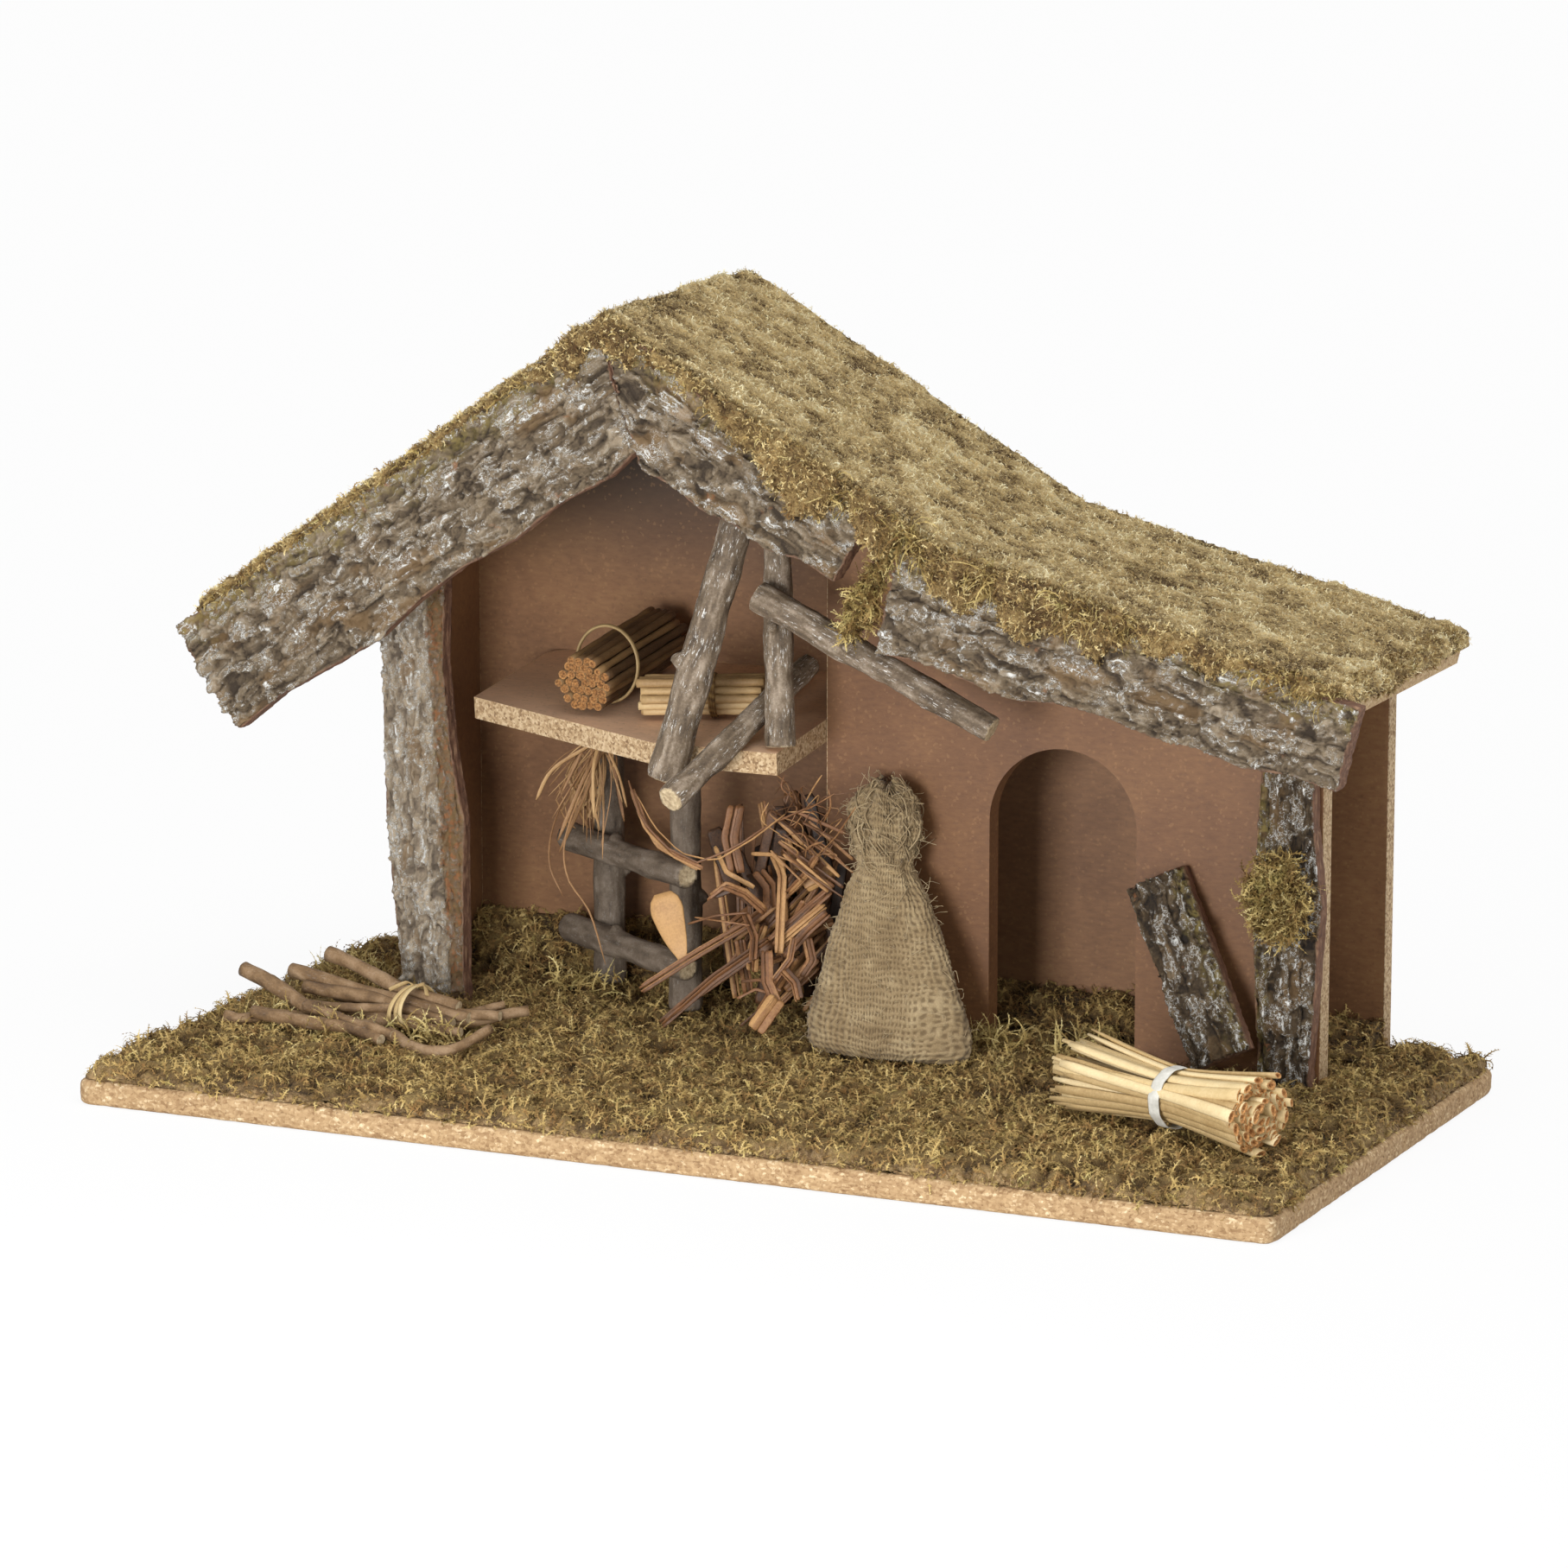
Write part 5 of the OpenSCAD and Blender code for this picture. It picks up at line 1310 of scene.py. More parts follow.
    def sticks(self, rng):
        """The pale sticks, which lie along the shelf, with a cord wound round them."""
        long, turns, steps = 52 * MM, 3, 40
        place = self.on_shelf(0.52, 82 * MM, math.radians(18), 9.8 * MM)
        ends = (176, 142, 94), (208, 180, 132)
        stick = stalk_finish("stick", (150, 118, 76), (190, 158, 110), (214, 186, 138), *ends)
        places, groups, marks = self.bundle(place, long, 1.8 * MM, 2, rng, 0.2 * MM, 3 * MM, 0.0)
        piece("sticks", places, groups, stick, ["stick_bundle"], marks)
        start, run, side, up = place
        fibre = (128, 98, 56), (160, 128, 78)
        cord = stalk_finish("cord", (84, 62, 34), *fibre, *fibre, 0.85)
        angle = np.linspace(0, 2 * math.pi * turns, turns * steps)[:, None]
        shift = np.linspace(-1.3, 1.3, len(angle))[:, None] * MM + long * 0.58
        radius = 8.5 * MM + 0.25 * MM * np.sin(angle * 3)
        spine = start + shift * run + radius * (np.cos(angle) * side + np.sin(angle) * up)
        radii = 0.62 * MM * (1 + 0.15 * np.sin(angle * 9)).T
        places, groups, _, along, cut = rods(spine[None], radii, 8, rng)
        marks = {"tone": 0.5 + 0.5 * np.sin(along * 300), "cut": cut * 0}
        piece("stick_cord", places, groups, cord, ["stick_band"], marks)

    def sheaf(self, rng, straw_width, straw_colour):
        """The sheaf: straws gathered at a paper band, that fan out to both ends."""
        turn = math.radians(-21)
        run = np.array([math.cos(turn), math.sin(turn), 0])
        side = np.array([-math.sin(turn), math.cos(turn), 0])
        up = np.array([0, 0, 1.0])
        waist = np.array([184, -55, 32.6]) * MM
        waist_radius, half_long, ground = 10.4 * MM, 48 * MM, 17.2 * MM
        inner, outer, steps = 82, 46, 16
        count = inner + outer
        place = rng.uniform(0, 2 * math.pi, count)
        out = np.sqrt(np.concatenate([rng.uniform(0, 0.75, inner), rng.uniform(0.75, 1, outer)]))
        left = -1.08 * half_long * rng.uniform(0.82, 1.02, count)
        right = 0.92 * half_long * rng.uniform(0.86, 1.0, count)
        travel = left[:, None] + (right - left)[:, None] * np.linspace(0, 1, steps)
        spread = waist_radius * (1 + 0.62 * (np.abs(travel) / half_long) ** 1.3) * out[:, None]
        spread = spread * (1 + 0.05 * rng.normal(size=(count, 1)))
        twist = place[:, None] + 0.12 * rng.normal(size=(count, 1)) * travel / half_long
        spines = waist + travel[..., None] * run + (spread * np.cos(twist))[..., None] * side
        spines = spines + (spread * np.sin(twist) * 0.92)[..., None] * up
        swell = smooth(travel, 0, 40 * MM) * 0.3
        radii = straw_width / 2 * rng.uniform(0.7, 1.25, (count, 1)) * (0.9 + swell)
        radii = radii * (1 - 0.5 * smooth(-travel, 36 * MM, 52 * MM))
        radial = np.cos(place)[:, None] * side + np.sin(place)[:, None] * up
        flat_way = np.cross(run, radial)
        places, groups, number, along, cut = rods(spines, radii, 10, rng, flat=0.55, cup=0.7, tilt=flat_way)
        places[:, 2] = np.maximum(places[:, 2], ground)
        ends = (150, 100, 54), (214, 158, 96)
        straw = stalk_finish("straw", (158, 128, 82), straw_colour, (232, 212, 168), *ends)
        marks = {"tone": rng.random(count)[number], "cut": cut * (along > 0.5)}
        piece("sheaf_straws", places, groups, straw, ["straw_sheaf"], marks)
        paper = plain_finish("paper_band", (188, 186, 176), (222, 220, 212), 3 * MM, 0.5)
        angle = circle(90)[:, None]
        wide = 11.9 * MM + 0.15 * MM * np.sin(angle * 11)
        ring = waist + wide * (np.cos(angle) * side + 0.96 * np.sin(angle) * up)
        self.hoop("sheaf_paper", ring, 0.5 * MM, 0.8, run, paper, "paper_band", "sheaf_band", wide=5.6)


class StableFirewood(bpy.types.Operator):
    """Make the firewood and its raffia tie at the front left."""

    bl_idname = "stable.firewood"
    bl_label = "Firewood"

    # Points along each stick in millimetres, then its radius
    STICKS = (
        (((-201, -4, 39), (-168, -12, 32), (-136, -18, 26.5)), 2.9),
        (((-227, -28, 36.5), (-199, -35, 26.5), (-163, -40, 20.5)), 3.1),
        (((-215, -12, 34), (-187, -16, 29), (-154, -20, 27), (-130, -22, 24.5)), 2.9),
        (((-204, -18, 29.5), (-172, -22, 27), (-134, -27, 23)), 2.7),
        (((-194, -14, 25), (-159, -18, 24), (-118, -18, 24.5)), 2.6),
        (((-214, -47, 23), (-183, -47, 22.5), (-152, -54, 20)), 2.8),
        (((-192, -41, 27), (-169, -46, 24), (-148, -52, 22)), 2.2),
        (((-168, -33, 21), (-136, -22, 22), (-111, -6, 25)), 2.6),
        (((-170, -24, 22), (-142, -22, 22), (-122, -6, 26)), 2.3),
        (((-152, -48, 20.5), (-135, -57, 20), (-120, -56, 20), (-111, -41, 25)), 2.4),
        (((-226, -46, 20), (-213, -42, 21), (-190, -34, 21.5)), 2.3),
        (((-210, -24, 23), (-170, -28, 22), (-128, -32, 21)), 2.4),
        (((-198, -30, 25), (-176, -30, 25), (-140, -16, 28)), 2.0),
    )

    # Each turn's place along the sticks, its half width and its half height, in millimetres
    TURNS = ((-3.6, 12, 8.2), (-2.4, 12.3, 8.6), (0.4, 12, 8.4), (1.8, 12.4, 8.8))

    def execute(self, context):
        rng = np.random.default_rng(SEED + 4)
        self.sticks(rng)
        self.raffia(rng)
        return {"FINISHED"}

    def sticks(self, rng):
        """Thin crooked sticks with small knots."""
        steps, count = 26, len(self.STICKS)
        even = np.linspace(0, 1, steps)
        spines, radii = [], []
        for points, radius in self.STICKS:
            spine = smooth_path(np.array(points) * MM, steps)
            sway = [np.sin(even * rng.uniform(5, 9) + rng.uniform(0, 6)) for _ in range(3)]
            spines.append(spine + np.stack(sway, axis=1) * 0.7 * MM)
            knots = 1 + 0.08 * np.sin(even * rng.uniform(8, 16) + rng.uniform(0, 6))
            radii.append(radius * MM * knots * np.linspace(1.06, 0.84, steps))
        places, groups, number, _, cut = rods(np.array(spines), np.array(radii), 16, rng)
        wrinkle = rough(places, 2.5 * MM, 341) * 0.3 * MM * (1 - cut)
        places = places + np.outer(wrinkle, unit(np.array([0.0, 0.4, 1.0])))
        finish = twig_finish("firewood_bark", (62, 42, 26), (126, 98, 66), 0.12, 44)
        depth = 0.5 + 0.5 * rough(places, 4 * MM, 335)
        marks = {"tone": rng.random(count)[number], "cut": cut, "depth": depth}
        drawn_out = places * (0.25, 1, 1)
        marks.update({"side_" + axis: drawn_out[:, k] for k, axis in enumerate("xyz")})
        piece("firewood_sticks", places, groups, finish, ["firewood_bundle"], marks)

    def raffia(self, rng):
        """Four turns of raffia round the sticks, and the two ends of their knot."""
        fibre = (150, 122, 78), (192, 166, 116), (220, 198, 150)
        finish = stalk_finish("raffia", *fibre, (190, 164, 116), (214, 190, 142))
        heap = Heap()
        middle = np.array([-153.5, -23, 26.5]) * MM
        side, up, run = np.array([0.1, 1, 0]), np.array([0.12, 0, 1.0]), np.array([1.0, -0.1, 0])
        angle = np.linspace(0, 2 * math.pi, 48)[:, None]
        for k, (lean, wide, tall) in enumerate(self.TURNS):
            spine = middle + (side * wide * np.cos(angle) + up * tall * np.sin(angle)) * MM
            spine = spine + run * (lean + 1.1 * np.sin(angle + k)) * MM
            radii = np.full((1, len(spine)), 0.95 * MM)
            made = rods(spine[None], radii, 8, rng, flat=0.35, tilt=run[None])
            heap.add(*made[:2], tone=rng.random(), cut=0.0)
        for way in (-1, 1):
            knot = [up * 8.4, up * 9.6 + run * way * 4, up * 7 + run * way * 9 - side * 5]
            heap.strand(middle + np.array(knot) * MM, 14, 0.9 * MM, 8, rng, 0.3, cut=0.0)
        heap.piece("firewood_raffia", finish, "raffia", ["firewood_tie"])


class StableHay(bpy.types.Operator):
    """Make the hay beside the rack and the wisp that hangs from the shelf."""

    bl_idname = "stable.hay"
    bl_label = "Hay"

    # Points along each blade that stands out in millimetres, then its width
    BLADES = (
        (((-62, -4, 38), (-43, 8, 52), (-25, 20, 64)), 3.0),
        (((-62, -3, 40), (-43, 9, 54), (-26, 21, 65)), 1.6),
        (((-50, -10, 27), (-34, 4, 44), (-15, 16, 59)), 4.0),
        (((-49, -9, 29), (-33, 5, 42), (-14, 16, 57)), 2.0),
        (((-14, 14, 59), (-5, 20, 68), (6, 26, 79)), 3.4),
        (((-9, 12, 59), (-1, 18, 67), (5, 24, 73)), 3.0),
        (((-7, 12, 54), (0, 18, 64), (7, 22, 71)), 3.4),
        (((-8, 16, 63), (-1, 20, 71), (4, 26, 77)), 2.4),
        (((-18, 24, 92), (-12, 20, 85), (-10, 14, 71), (-8, 8, 56)), 3.8),
        (((-33, -2, 78), (-27, 0, 83), (-21, 6, 79), (-15, 12, 71)), 3.6),
        (((-32, 0, 78), (-25, 2, 81), (-19, 8, 74)), 2.0),
        (((-3, -4, 41), (-5, -10, 36), (-8, -14, 30)), 7.0),
        (((-6, 0, 40), (-17, -8, 29)), 1.2),
        (((-1, 8, 63), (-1, 4, 55), (-6, 0, 47)), 2.4),
        (((-12, 6, 57), (-9, 0, 46), (-4, -3, 39)), 4.6),
        (((-3, 2, 51), (3, 0, 47), (6, -3, 41)), 4.0),
        (((-70, 2, 121), (-63, -2, 107), (-51, -4, 97), (-37, -4, 92), (-22, 0, 99), (-12, 6, 107),
          (4, 18, 115)), 1.0),
        (((-66, 2, 115), (-58, 0, 104), (-45, -3, 95), (-30, -3, 93), (-15, 2, 103), (-5, 8, 112)), 0.8),
        (((-69, 4, 117), (-61, 0, 103), (-48, -3, 94), (-35, -4, 90)), 2.6),
        (((-67, 4, 109), (-57, 1, 96), (-38, -2, 89)), 1.8),
        (((-31, 20, 111), (-33, 18, 98), (-29, 16, 85)), 5.5),
        (((-8, 18, 78), (0, 16, 86), (6, 14, 95)), 2.6),
        (((4, 14, 93), (17, 8, 105), (28, 2, 119)), 0.7),
        (((-4, 24, 80), (2, 26, 84), (5, 28, 88)), 7.0),
        (((-26, 26, 83), (-20, 24, 78), (-18, 20, 70)), 8.0),
        (((-21, 22, 63), (-22, 16, 55), (-20, 10, 47)), 5.0),
        (((-27, 18, 68), (-21, 14, 60), (-19, 8, 52)), 3.0),
        (((0, 18, 61), (4, 14, 53), (1, 10, 47)), 3.6),
        (((-40, 18, 94), (-33, 14, 85), (-21, 14, 80)), 2.2),
        (((-25, 20, 92), (-15, 18, 93), (-9, 16, 89)), 1.6),
        (((-49, 12, 63), (-36, 10, 68), (-23, 12, 70)), 0.9),
        (((-46, 12, 66), (-33, 10, 66), (-22, 12, 65)), 0.8),
        (((-22, 4, 44), (-13, 2, 46), (-3, 0, 43)), 1.4),
        (((-22, 0, 38), (-15, 2, 42), (-8, 2, 41)), 1.2),
    )

    # A broad dry leaf beside the rack, and half its width at even steps, in millimetres
    HUSK = ((-61, 14, 74), (-57, 12, 64), (-52, 9, 55), (-49, 8, 49))
    HUSK_HALVES = (3.6, 5.8, 6.6, 6.8, 6.4, 6.0, 5.5, 5.0, 4.4, 3.8, 3.2, 2.6, 2.2, 1.8)

    # The wisp's two long strands, in millimetres
    STRANDS = (
        ((-101, 38, 122), (-114, 36, 90), (-113, 34, 72), (-103, 34, 58), (-96, 34, 37)),
        ((-103, 40, 124), (-120, 40, 96), (-124, 40, 76), (-118, 40, 62)),
    )

    # The way that blades face
    FACING = (-0.4, 0.9, -0.2)

    def execute(self, context):
        farm = context.scene.stable_farm
        rng = np.random.default_rng(SEED + 5)
        self.bunch(rng, farm.hay_blades, farm.hay_colour)
        self.wisp(rng)
        return {"FINISHED"}

    def bunch(self, rng, loose, hay_colour):
        """The tangle between the rack and the panel: listed blades, a thick heart whose dark tones are
        painted shade, and fine loose ones.
        """
        heap = Heap()
        for points, wide in self.BLADES:
            self.blade(heap, points, wide, rng, True)
        halves = np.array(self.HUSK_HALVES)[None] * MM
        spine = smooth_path(np.array(self.HUSK) * MM, halves.shape[1])
        made = rods(spine[None], halves, 16, rng, 0.14, 0, np.array([[1, 0.3, 0.4]]))
        heap.add(*made[:2], tone=1.05, cut=0.0)
        # Wide blades at the back, toned dark: painted shade for the deep shadow inside the hay.
        for _ in range(34):
            foot = self.drawn(rng, (-42, 4), (34, 52), (22, 84))
            end = foot + self.drawn(rng, (-14, 16), (-4, 4), (14, 34))
            end[0], end[2] = np.clip(end[0], -48, 6), min(end[2], 114)
            self.blade(heap, [foot, end], rng.uniform(4, 9), rng, True, rng.uniform(-0.3, 0.2))
        for _ in range(loose):
            foot = self.drawn(rng, (-40, -4), (22, 48), (24, 62))
            slope = np.array([0.62, 0.4, 0.66]) if rng.random() < 0.6 else np.array([-0.1, 0.1, 1.0])
            end = foot + (slope + 0.25 * rng.normal(size=3)) * rng.uniform(18, 46)
            end[0], end[2] = np.clip(end[0], -56, 4), min(end[2], 118)
            self.blade(heap, [foot, end], rng.uniform(1.4, 4.6), rng, True)
        for _ in range(30):
            start = self.drawn(rng, (-14, 0), (10, 24), (92, 112))
            end = start + self.drawn(rng, (10, 20), (2, 8), (-16, -6))
            self.blade(heap, [start, end], rng.uniform(0.6, 1.8), rng, True)
        for _ in range(40):
            start = self.drawn(rng, (-12, 6), (14, 32), (90, 116))
            middle = start + self.drawn(rng, (-6, 8), (-6, 2), (2, 9))
            end = middle + self.drawn(rng, (-10, 12), (-8, 2), (-7, 9))
            self.blade(heap, [start, middle, end], rng.uniform(0.3, 0.8), rng)
        ends = (116, 78, 46), (160, 120, 78)
        # The deep stop is near black, for the painted shade of the dark blades.
        finish = stalk_finish("hay", (44, 28, 17), hay_colour, (196, 152, 98), *ends, 0.55)
        heap.piece("hay_blades", finish, "hay", ["hay_bunch"])

    def wisp(self, rng):
        """Fine hay that hangs from the shelf over the rack's upper rung."""
        heap = Heap()
        top = np.array([-103, 44, 127.0])
        for k in range(46):
            start = top + rng.normal(size=3) * (2.4, 2, 2)
            drop = rng.uniform(14, 46)
            lean = rng.uniform(-26, 8)
            end = start + (lean, rng.uniform(-10, 16), -drop)
            middle = (start + end) / 2 + self.drawn(rng, (-5, 3), (-3, 3), (0, 5))
            wide = rng.uniform(0.3, 0.8) if k > 8 else rng.uniform(1.0, 2.0)
            self.blade(heap, [start, middle, end], wide, rng)
        for points in self.STRANDS:
            self.blade(heap, points, 0.8, rng)
        low, high = box("hay_wisp")
        heart = (low + high) / 2 / MM
        for _ in range(30):
            start = heart + rng.normal(size=3) * (3, 3, 0) + (0, 0, rng.uniform(-19, 0))
            end = start + self.drawn(rng, (-8, 8), (-5, 5), (8, 20))
            bend = (start + end) / 2 + rng.normal(size=3) * 2
            self.blade(heap, [start, bend, end], rng.uniform(0.5, 1.6), rng)
        straw = (112, 76, 46), (158, 118, 76), (198, 162, 112)
        finish = stalk_finish("wisp", *straw, (158, 118, 76), (186, 152, 106))
        heap.piece("hay_strands", finish, "hay", ["hay_wisp"])

    @staticmethod
    def drawn(rng, *spans):
        """A point with each coordinate drawn from its own span."""
        return np.array([rng.uniform(low, high) for low, high in spans])

    def blade(self, heap, points, wide, rng, is_folded=False, tone=None):
        """A flat blade, bent or sharply folded, that mostly faces the front. points and wide are in
        millimetres. A wide one is a few narrow ones side by side, as it splits along its fibres."""
        points = np.asarray(points, float)
        aside = unit(np.cross(points[-1] - points[0], self.FACING))
        if is_folded and tone is None and wide > 2.2:
            tone = rng.uniform(0.15, 0.75)
            for place in (-0.34, 0.0, 0.34):
                shift = aside * place * wide + rng.normal(size=3) * 0.25
                narrow = wide * rng.uniform(0.36, 0.5)
                self.blade(heap, points + shift, narrow, rng, True, tone + rng.uniform(-0.25, 0.25))
            return
        steps = 16
        if is_folded:
            spine = walked(points, np.linspace(0, travelled(points)[-1], steps))
        else:
            spine = smooth_path(points, steps)
        share_along = np.linspace(0, 1, steps)
        taper = np.minimum(1, (0.7 if is_folded else 0.3) + 6 * np.minimum(share_along, 1 - share_along))
        radii = (wide / 2 * taper * (1 + 0.05 * rng.normal(size=steps)))[None]
        flat = min(0.35, 0.3 / wide + 0.06)
        tilt = aside[None] + 0.35 * rng.normal(size=(1, 3))
        made = rods(spine[None] * MM, radii * MM, 8, rng, flat=flat, tilt=tilt)
        heap.add(*made[:2], tone=rng.random() if tone is None else tone, cut=made[4] * (tone is None))


class StableSack(bpy.types.Operator):
    """Make the burlap sack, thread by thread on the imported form, with its tie."""

    bl_idname = "stable.sack"
    bl_label = "Sack"

    # Its foot and its neck's height over the foot in millimetres, and the way of its leaning middle line
    FOOT = np.array([37, 14, 18])
    NECK = 71
    LEAN = np.array([-0.12, 0.23, 1.0])

    # Half its width at heights over its foot, both in millimetres
    HEIGHTS = (0, 4, 12, 25, 41, 52, 60, 66, 70, 73, 78, 85, 92, 98, 101.5, 104)
    HALVES = (32, 34.5, 33.5, 29.5, 24.5, 20.5, 17.2, 13.8, 11, 10.2, 12.6, 14.8, 15, 13, 9.5, 2)

    # The cloth's points in each ring, and its rings
    AROUND, ROWS = 380, 250

    def execute(self, context):
        farm = context.scene.stable_farm
        rng = np.random.default_rng(SEED + 6)
        places, turns, height = self.bag()
        quads, index = ring_faces(self.ROWS, self.AROUND)
        normals = point_normals(places, quads)
        girth = 150 * MM
        relief = self.weave(places, turns * round(girth / farm.thread), height / farm.thread)
        places = places + normals * ((relief - 0.6) * 1.6 * farm.weave_relief)[:, None]
        tone = np.clip(0.5 + 0.5 * rough(places, 5 * MM, 481), 0, 1)
        # hole marks where the weave sinks, for its painted shade.
        marks = {"hole": np.clip(1 - relief * 1.25, 0, 1), "tone": tone}
        finish = burlap_finish("burlap", farm.burlap_colour)
        groups = [quads, index[:1, ::-1], index[-1:]]
        sack = piece("sack_burlap", places, groups, finish, ["sack"], marks)
        grid = (self.ROWS, self.AROUND, 3)
        self.frays(places.reshape(grid), normals.reshape(grid), finish, rng)
        self.tie(rng)
        return {"FINISHED"}

    def bag(self):
        """The sack's smooth skin: its points, how far round each one is in turns, and how high up."""
        foot = self.FOOT * MM
        tall = box("sack")[1][2] - foot[2]
        neck = self.NECK * MM / tall
        share_round = np.linspace(0, 1, self.AROUND, endpoint=False)
        share_up = np.linspace(0, 1, self.ROWS)
        angle, height = 2 * math.pi * share_round, share_up * tall
        reach = self.stretched(self.reach(foot, tall, around=72, rows=64), share_up, share_round)
        wanted = np.interp(height, np.array(self.HEIGHTS) * MM, np.array(self.HALVES) * MM)
        wide = reach[:, 0] + reach[:, self.AROUND // 2]
        reach = reach * np.clip(2 * wanted / wide, 0.1, 2.0)[:, None]
        gather = self.bulge(share_up, neck, 0.13) + smooth(share_up, neck, 1) * 0.8
        pleats = 0.5 * np.sin(angle * 9 + 1.3) + 0.35 * np.sin(angle * 14 + 4) + 0.3 * np.sin(angle * 5 + 2)
        reach = reach * (1 + 0.085 * gather[:, None] * pleats)
        sag = 0.03 * self.bulge(share_up, 0.12, 0.1) + 0.02 * self.bulge(share_up, 0.42, 0.16)
        reach = reach * (1 + sag[:, None] * (1 + 0.6 * np.sin(angle * 3 + 0.7)))
        out = np.stack([np.cos(angle), np.sin(angle), 0 * angle], axis=1)
        places = foot + height[:, None, None] * self.LEAN + reach[..., None] * out
        ruffle = 0.8 * np.sin(angle * 3 + 1) + 0.5 * np.sin(angle * 5 + 2)
        places[..., 2] += smooth(share_up, 0.86, 1)[:, None] * ruffle * 1.8 * MM
        places = places.reshape(-1, 3)
        outward = np.tile(out, (self.ROWS, 1))
        turns, climb = np.tile(share_round, self.ROWS), np.repeat(share_up, self.AROUND)
        head = smooth(climb, neck, neck + 0.08) * rough(places, 7 * MM, 431)
        fold = self.bulge(climb, neck - 0.06, 0.02) * self.bulge(turns * 2 * math.pi, 4.9, 0.35)
        places = places + outward * ((head - fold) * 2.4 * MM)[:, None]
        places = places + outward * (rough(places, 16 * MM, 441) * 0.9 * MM)[:, None]
        return places, turns, climb * tall

    @staticmethod
    def bulge(value, middle, spread):
        """A smooth hill from 0 to 1."""
        return np.exp(-((value - middle) / spread) ** 2)

    @staticmethod
    def weave(places, turns, climb):
        """How high the threads stand at points that lie turns threads round and climb threads up."""
        turns = turns + 1.3 * rough(places, 20 * MM, 451) + 0.35 * rough(places, 4 * MM, 455)
        climb = climb + 1.5 * rough(places, 22 * MM, 461) + 0.4 * rough(places, 4 * MM, 465)
        over = np.cos(np.pi * turns) * np.cos(np.pi * climb)
        thick = 1 + 0.45 * rough(places, 3.4 * MM, 471)
        up_thread = np.cos(np.pi * turns) ** 2 * (0.62 + 0.38 * over) * thick
        cross_thread = np.cos(np.pi * climb) ** 2 * (0.62 - 0.38 * over) * thick
        return np.maximum(up_thread, cross_thread)

    def reach(self, foot, tall, around, rows):
        """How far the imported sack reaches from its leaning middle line, by height and by angle."""
        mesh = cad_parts["sack"].data
        tree = BVHTree.FromPolygons([v.co for v in mesh.vertices], [p.vertices for p in mesh.polygons])
        missed = 8 * MM
        found = np.zeros((rows, around + 1))
        for i, share_up in enumerate(np.linspace(0.004, 0.992, rows)):
            middle = Vector(foot + share_up * tall * self.LEAN)
            for k in range(around):
                angle = 2 * math.pi * k / around
                distance = tree.ray_cast(middle, Vector((math.cos(angle), math.sin(angle), 0)))[3]
                found[i, k] = distance or missed
        found[:, around] = found[:, 0]
        return found

    @staticmethod
    def stretched(table, v, u):
        """The table read between its rows, at shares v of its height, and its columns, at shares u."""
        down, across = (np.linspace(0, 1, count) for count in table.shape)
        wide = np.array([np.interp(u, across, row) for row in table])
        return np.array([np.interp(v, down, column) for column in wide.T]).T

    @staticmethod
    def frays(places, normals, finish, rng):
        """Loose fibres all over, and strands that loop over the gathered head."""
        rows, around = places.shape[:2]
        fibres, strands = 520, 150
        heap = Heap()
        for _ in range(fibres):
            row, k = int(rng.integers(0, rows)), int(rng.integers(0, around))
            start, out = places[row, k], normals[row, k]
            reach = rng.uniform(1.5, 6) * MM
            middle = start + out * reach * 0.35 + rng.normal(size=3) * 1.2 * MM
            end = middle + (0.3 * out + rng.normal(size=3) * 0.8) * reach * 0.6
            heap.strand([start - out * 0.3 * MM, middle, end], 7, 0.13 * MM, 4, rng, tone=1.0, hole=0.0)
        neck_row = int(rows * 0.72)
        for _ in range(strands):
            row, k = int(rng.integers(neck_row, rows)), int(rng.integers(0, around))
            other_row = int(np.clip(row + rng.integers(-34, 35), neck_row, rows - 1))
            other_k = int(k + rng.integers(-50, 51)) % around
            start, end = places[row, k], places[other_row, other_k]
            out = unit(normals[row, k] + normals[other_row, other_k] + 0.3 * rng.normal(size=3))
            middle = (start + end) / 2 + out * rng.uniform(0.8, 3.4) * MM
            heap.strand([start, middle, end], 12, rng.uniform(0.2, 0.38) * MM, 6, rng, hole=0.0)
        heap.piece("sack_frays", finish, "burlap")

    @staticmethod
    def tie(rng):
        """A thin thread wound twice round the neck, mostly sunk in its folds."""
        twine = plain_finish("twine", (140, 116, 80), (196, 174, 134), 2 * MM, 0.85)
        low, high = box("sack_tie")
        turns, steps = 2, 120
        angle = np.linspace(0, 2 * math.pi * turns, steps)
        radius = 9.4 * MM + 0.4 * MM * np.sin(angle * 4)
        level = np.linspace(-1.1, 1.1, steps) * MM
        spine = (low + high) / 2 + np.stack([radius * np.cos(angle), radius * np.sin(angle), level], axis=1)
        made = rods(spine[None], np.full((1, steps), 0.45 * MM), 8, rng)
        piece("sack_twine", made[0], made[1], twine, ["sack_tie"])


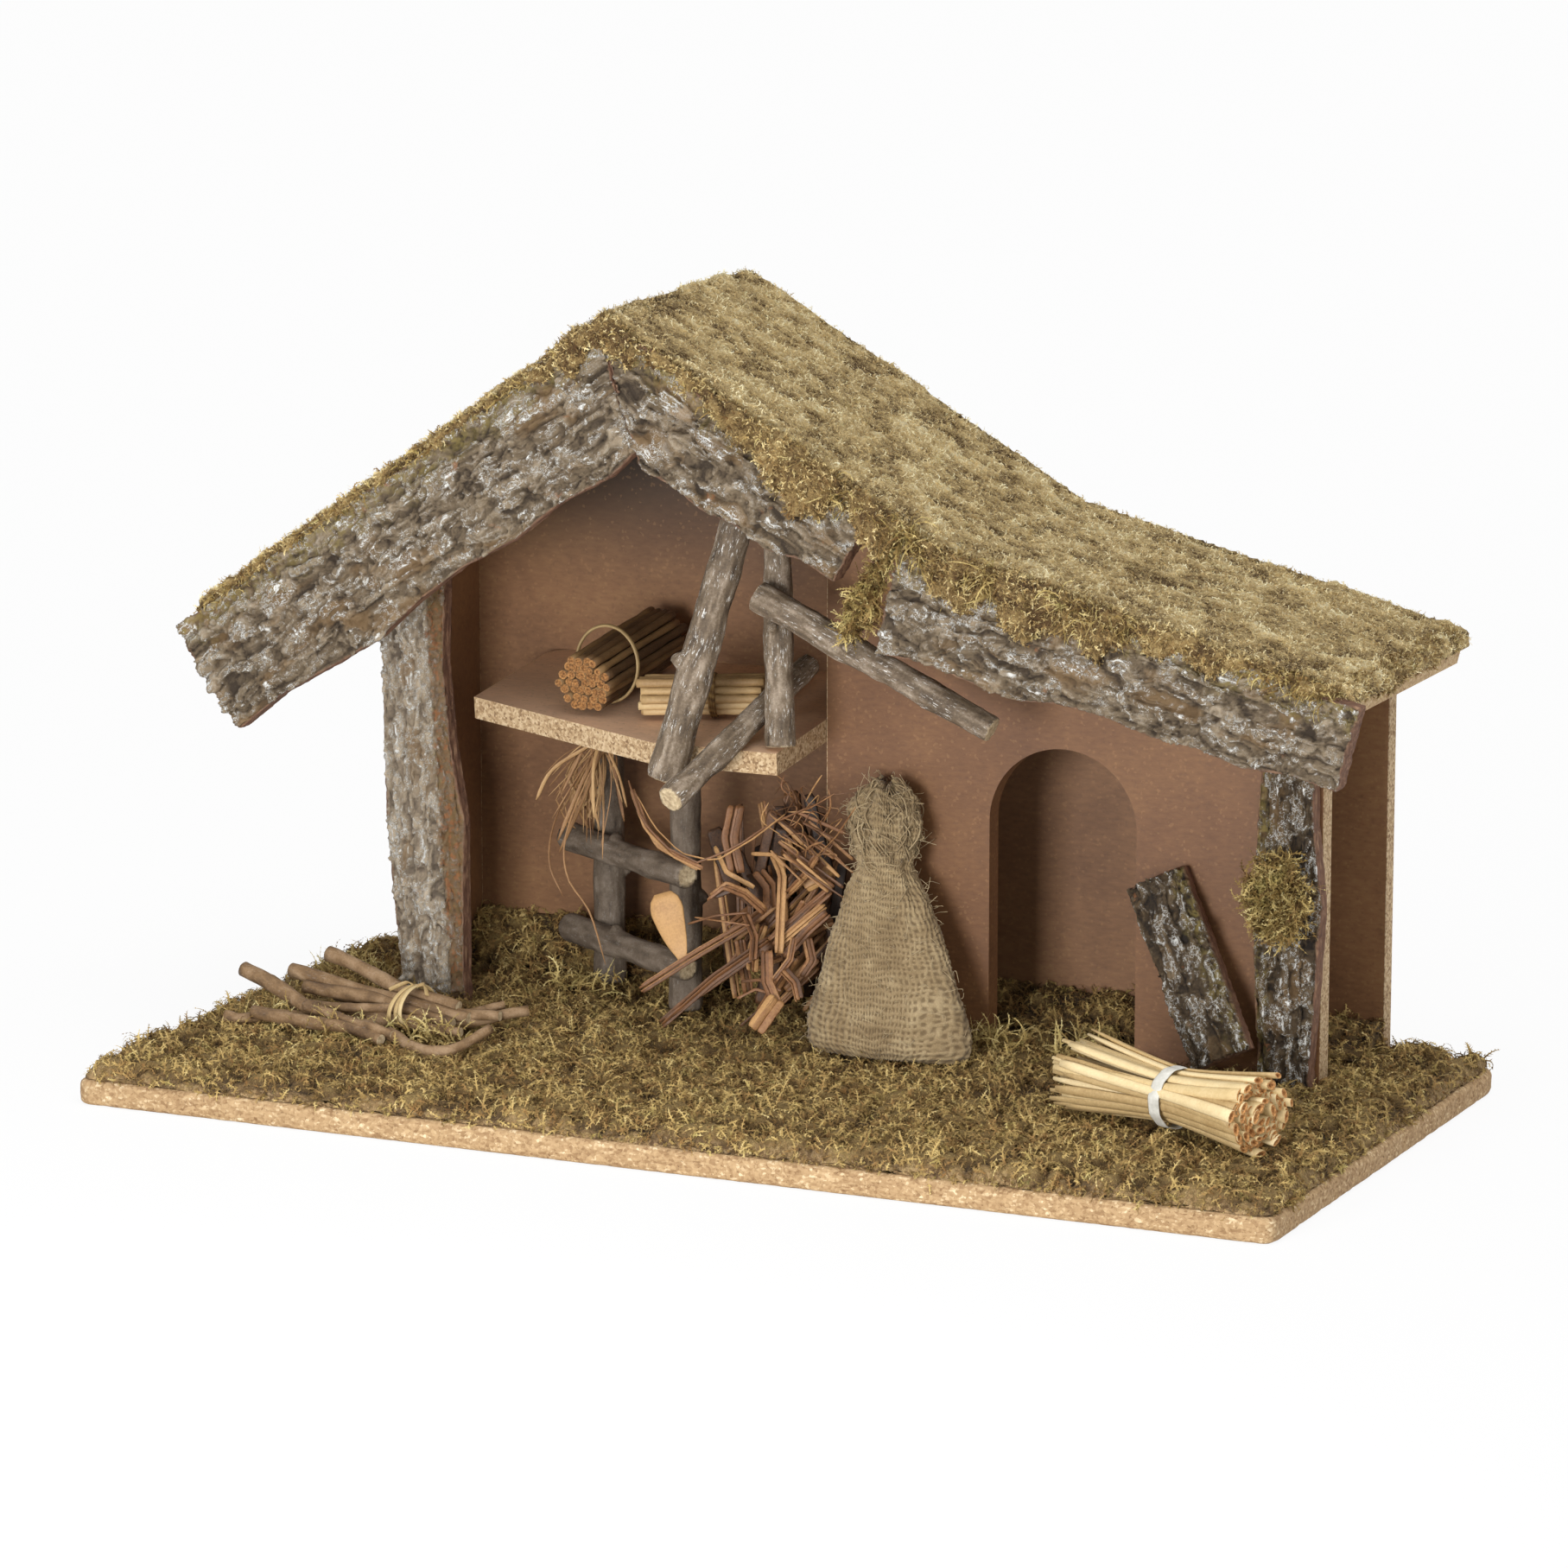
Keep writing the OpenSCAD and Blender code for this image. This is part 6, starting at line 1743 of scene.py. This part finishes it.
class StableStageSet(bpy.types.Operator):
    """Make the floor, the light and the camera."""

    bl_idname = "stable.stage"
    bl_label = "Stage"

    # The camera's place in metres, its turn and its look down in degrees, and its lens in millimetres
    CAMERA = (1.0911, -2.398, 0.675)
    YAW, PITCH, LENS = 24.5, 11.77, 158.7

    def execute(self, context):
        scene, stage = context.scene, context.scene.stable_stage
        camera = self.placed(scene, "camera", bpy.data.cameras.new("camera"))
        camera.data.sensor_width = 36
        camera.data.lens = self.LENS
        camera.data.clip_end = 60
        camera.location = self.CAMERA
        camera.rotation_euler = (math.radians(90 - self.PITCH), 0, math.radians(self.YAW))
        scene.camera = camera
        self.lamps(scene, stage)
        self.room(scene, stage)
        self.floor(stage)
        scene.view_settings.view_transform = "Standard"
        return {"FINISHED"}

    @staticmethod
    def placed(scene, name, data):
        """A new object in the scene."""
        made = bpy.data.objects.new(name, data)
        scene.collection.objects.link(made)
        return made

    def lamps(self, scene, stage):
        """A small lamp in front, a broad one from the front right and a broader one from above."""
        front = self.placed(scene, "front_lamp", bpy.data.lights.new("front_lamp", "AREA"))
        front.data.energy = stage.front
        front.data.size = 0.3
        front.location = (0.03, -0.95, 0.18)
        front.rotation_euler = (math.radians(90), 0, 0)
        front.visible_camera = False
        for name, strength, spread, way in (
                ("side_lamp", stage.side, 26, (-1.3, 1.0, -0.2)),
                ("top_lamp", stage.top, 60, (-0.3, 0.25, -1.0))):
            lamp = self.placed(scene, name, bpy.data.lights.new(name, "SUN"))
            lamp.data.energy = strength
            lamp.data.angle = math.radians(spread)
            lamp.rotation_euler = Vector(way).to_track_quat("-Z", "Y").to_euler()

    @staticmethod
    def seen(tree):
        """1 where the camera or a mirror or glass looks straight at it."""
        path = tree.nodes.new("ShaderNodeLightPath")
        total = path.outputs["Is Camera Ray"]
        for name in ("Is Glossy Ray", "Is Transmission Ray"):
            add = tree.nodes.new("ShaderNodeMath")
            add.operation = "MAXIMUM"
            tree.links.new(total, add.inputs[0])
            tree.links.new(path.outputs[name], add.inputs[1])
            total = add.outputs[0]
        return total

    def room(self, scene, stage):
        """Even light from all round, in front of a plain white background."""
        world = bpy.data.worlds.new("room")
        world.use_nodes = True
        tree = world.node_tree
        scene.world = world
        light = tree.nodes["Background"]
        light.inputs["Color"].default_value = (1, 1, 1, 1)
        light.inputs["Strength"].default_value = stage.room
        white = tree.nodes.new("ShaderNodeBackground")
        white.inputs["Strength"].default_value = 1
        self.swapped(tree, self.seen(tree), light, white, "World Output")

    @staticmethod
    def swapped(tree, share, first, second, end):
        """Shows a share of the second shader in place of the first."""
        mix = tree.nodes.new("ShaderNodeMixShader")
        for output, socket in zip((share, first.outputs[0], second.outputs[0]), mix.inputs):
            tree.links.new(output, socket)
        tree.links.new(mix.outputs[0], tree.nodes[end].inputs["Surface"])

    def floor(self, stage):
        """A broad floor, which glows a little where it is seen so that it melts into the background."""
        bpy.ops.mesh.primitive_plane_add(size=40)
        floor = bpy.context.object
        floor.name = "floor"
        made = Finish("floor", Base_Color=linear(stage.floor), Roughness=0.9)
        glow = made.node("ShaderNodeEmission", None, {"Strength": 1.0})
        share = Wire(made, self.seen(made.tree)) * 0.9
        self.swapped(made.tree, share.socket, made.shader, glow, "Material Output")
        floor.data.materials.append(made.material)


GROUPS = (
    ("stable_moss", StableMoss), ("stable_bark", StableBark),
    ("stable_farm", StableFarm), ("stable_stage", StableStage),
)
STEPS = (
    StableBoards, StableBarkSlabs, StableTwigs, StableMossGround, StableMossRoof, StableMossTufts,
    StableStraw, StableFirewood, StableHay, StableSack, StableStageSet,
)


class StablePanel(bpy.types.Panel):
    """Lists the steps and what a user may change."""

    bl_idname = "STABLE_PT_panel"
    bl_label = "Nativity stable"
    bl_space_type = "VIEW_3D"
    bl_region_type = "UI"
    bl_category = "Stable"

    def draw(self, context):
        for step in STEPS:
            self.layout.operator(step.bl_idname)
        for name, group in GROUPS:
            values = getattr(context.scene, name)
            for value in group.__annotations__:
                self.layout.prop(values, value)


def register():
    for made in [group for _, group in GROUPS] + list(STEPS) + [StablePanel]:
        bpy.utils.register_class(made)
    for name, group in GROUPS:
        setattr(bpy.types.Scene, name, bpy.props.PointerProperty(type=group))


def unregister():
    for name, _ in GROUPS:
        delattr(bpy.types.Scene, name)
    for made in [StablePanel] + list(STEPS)[::-1] + [group for _, group in GROUPS]:
        bpy.utils.unregister_class(made)


def main():
    register()
    for step in STEPS:
        group, name = step.bl_idname.split(".")
        getattr(getattr(bpy.ops, group), name)()


if __name__ == "__main__":
    main()
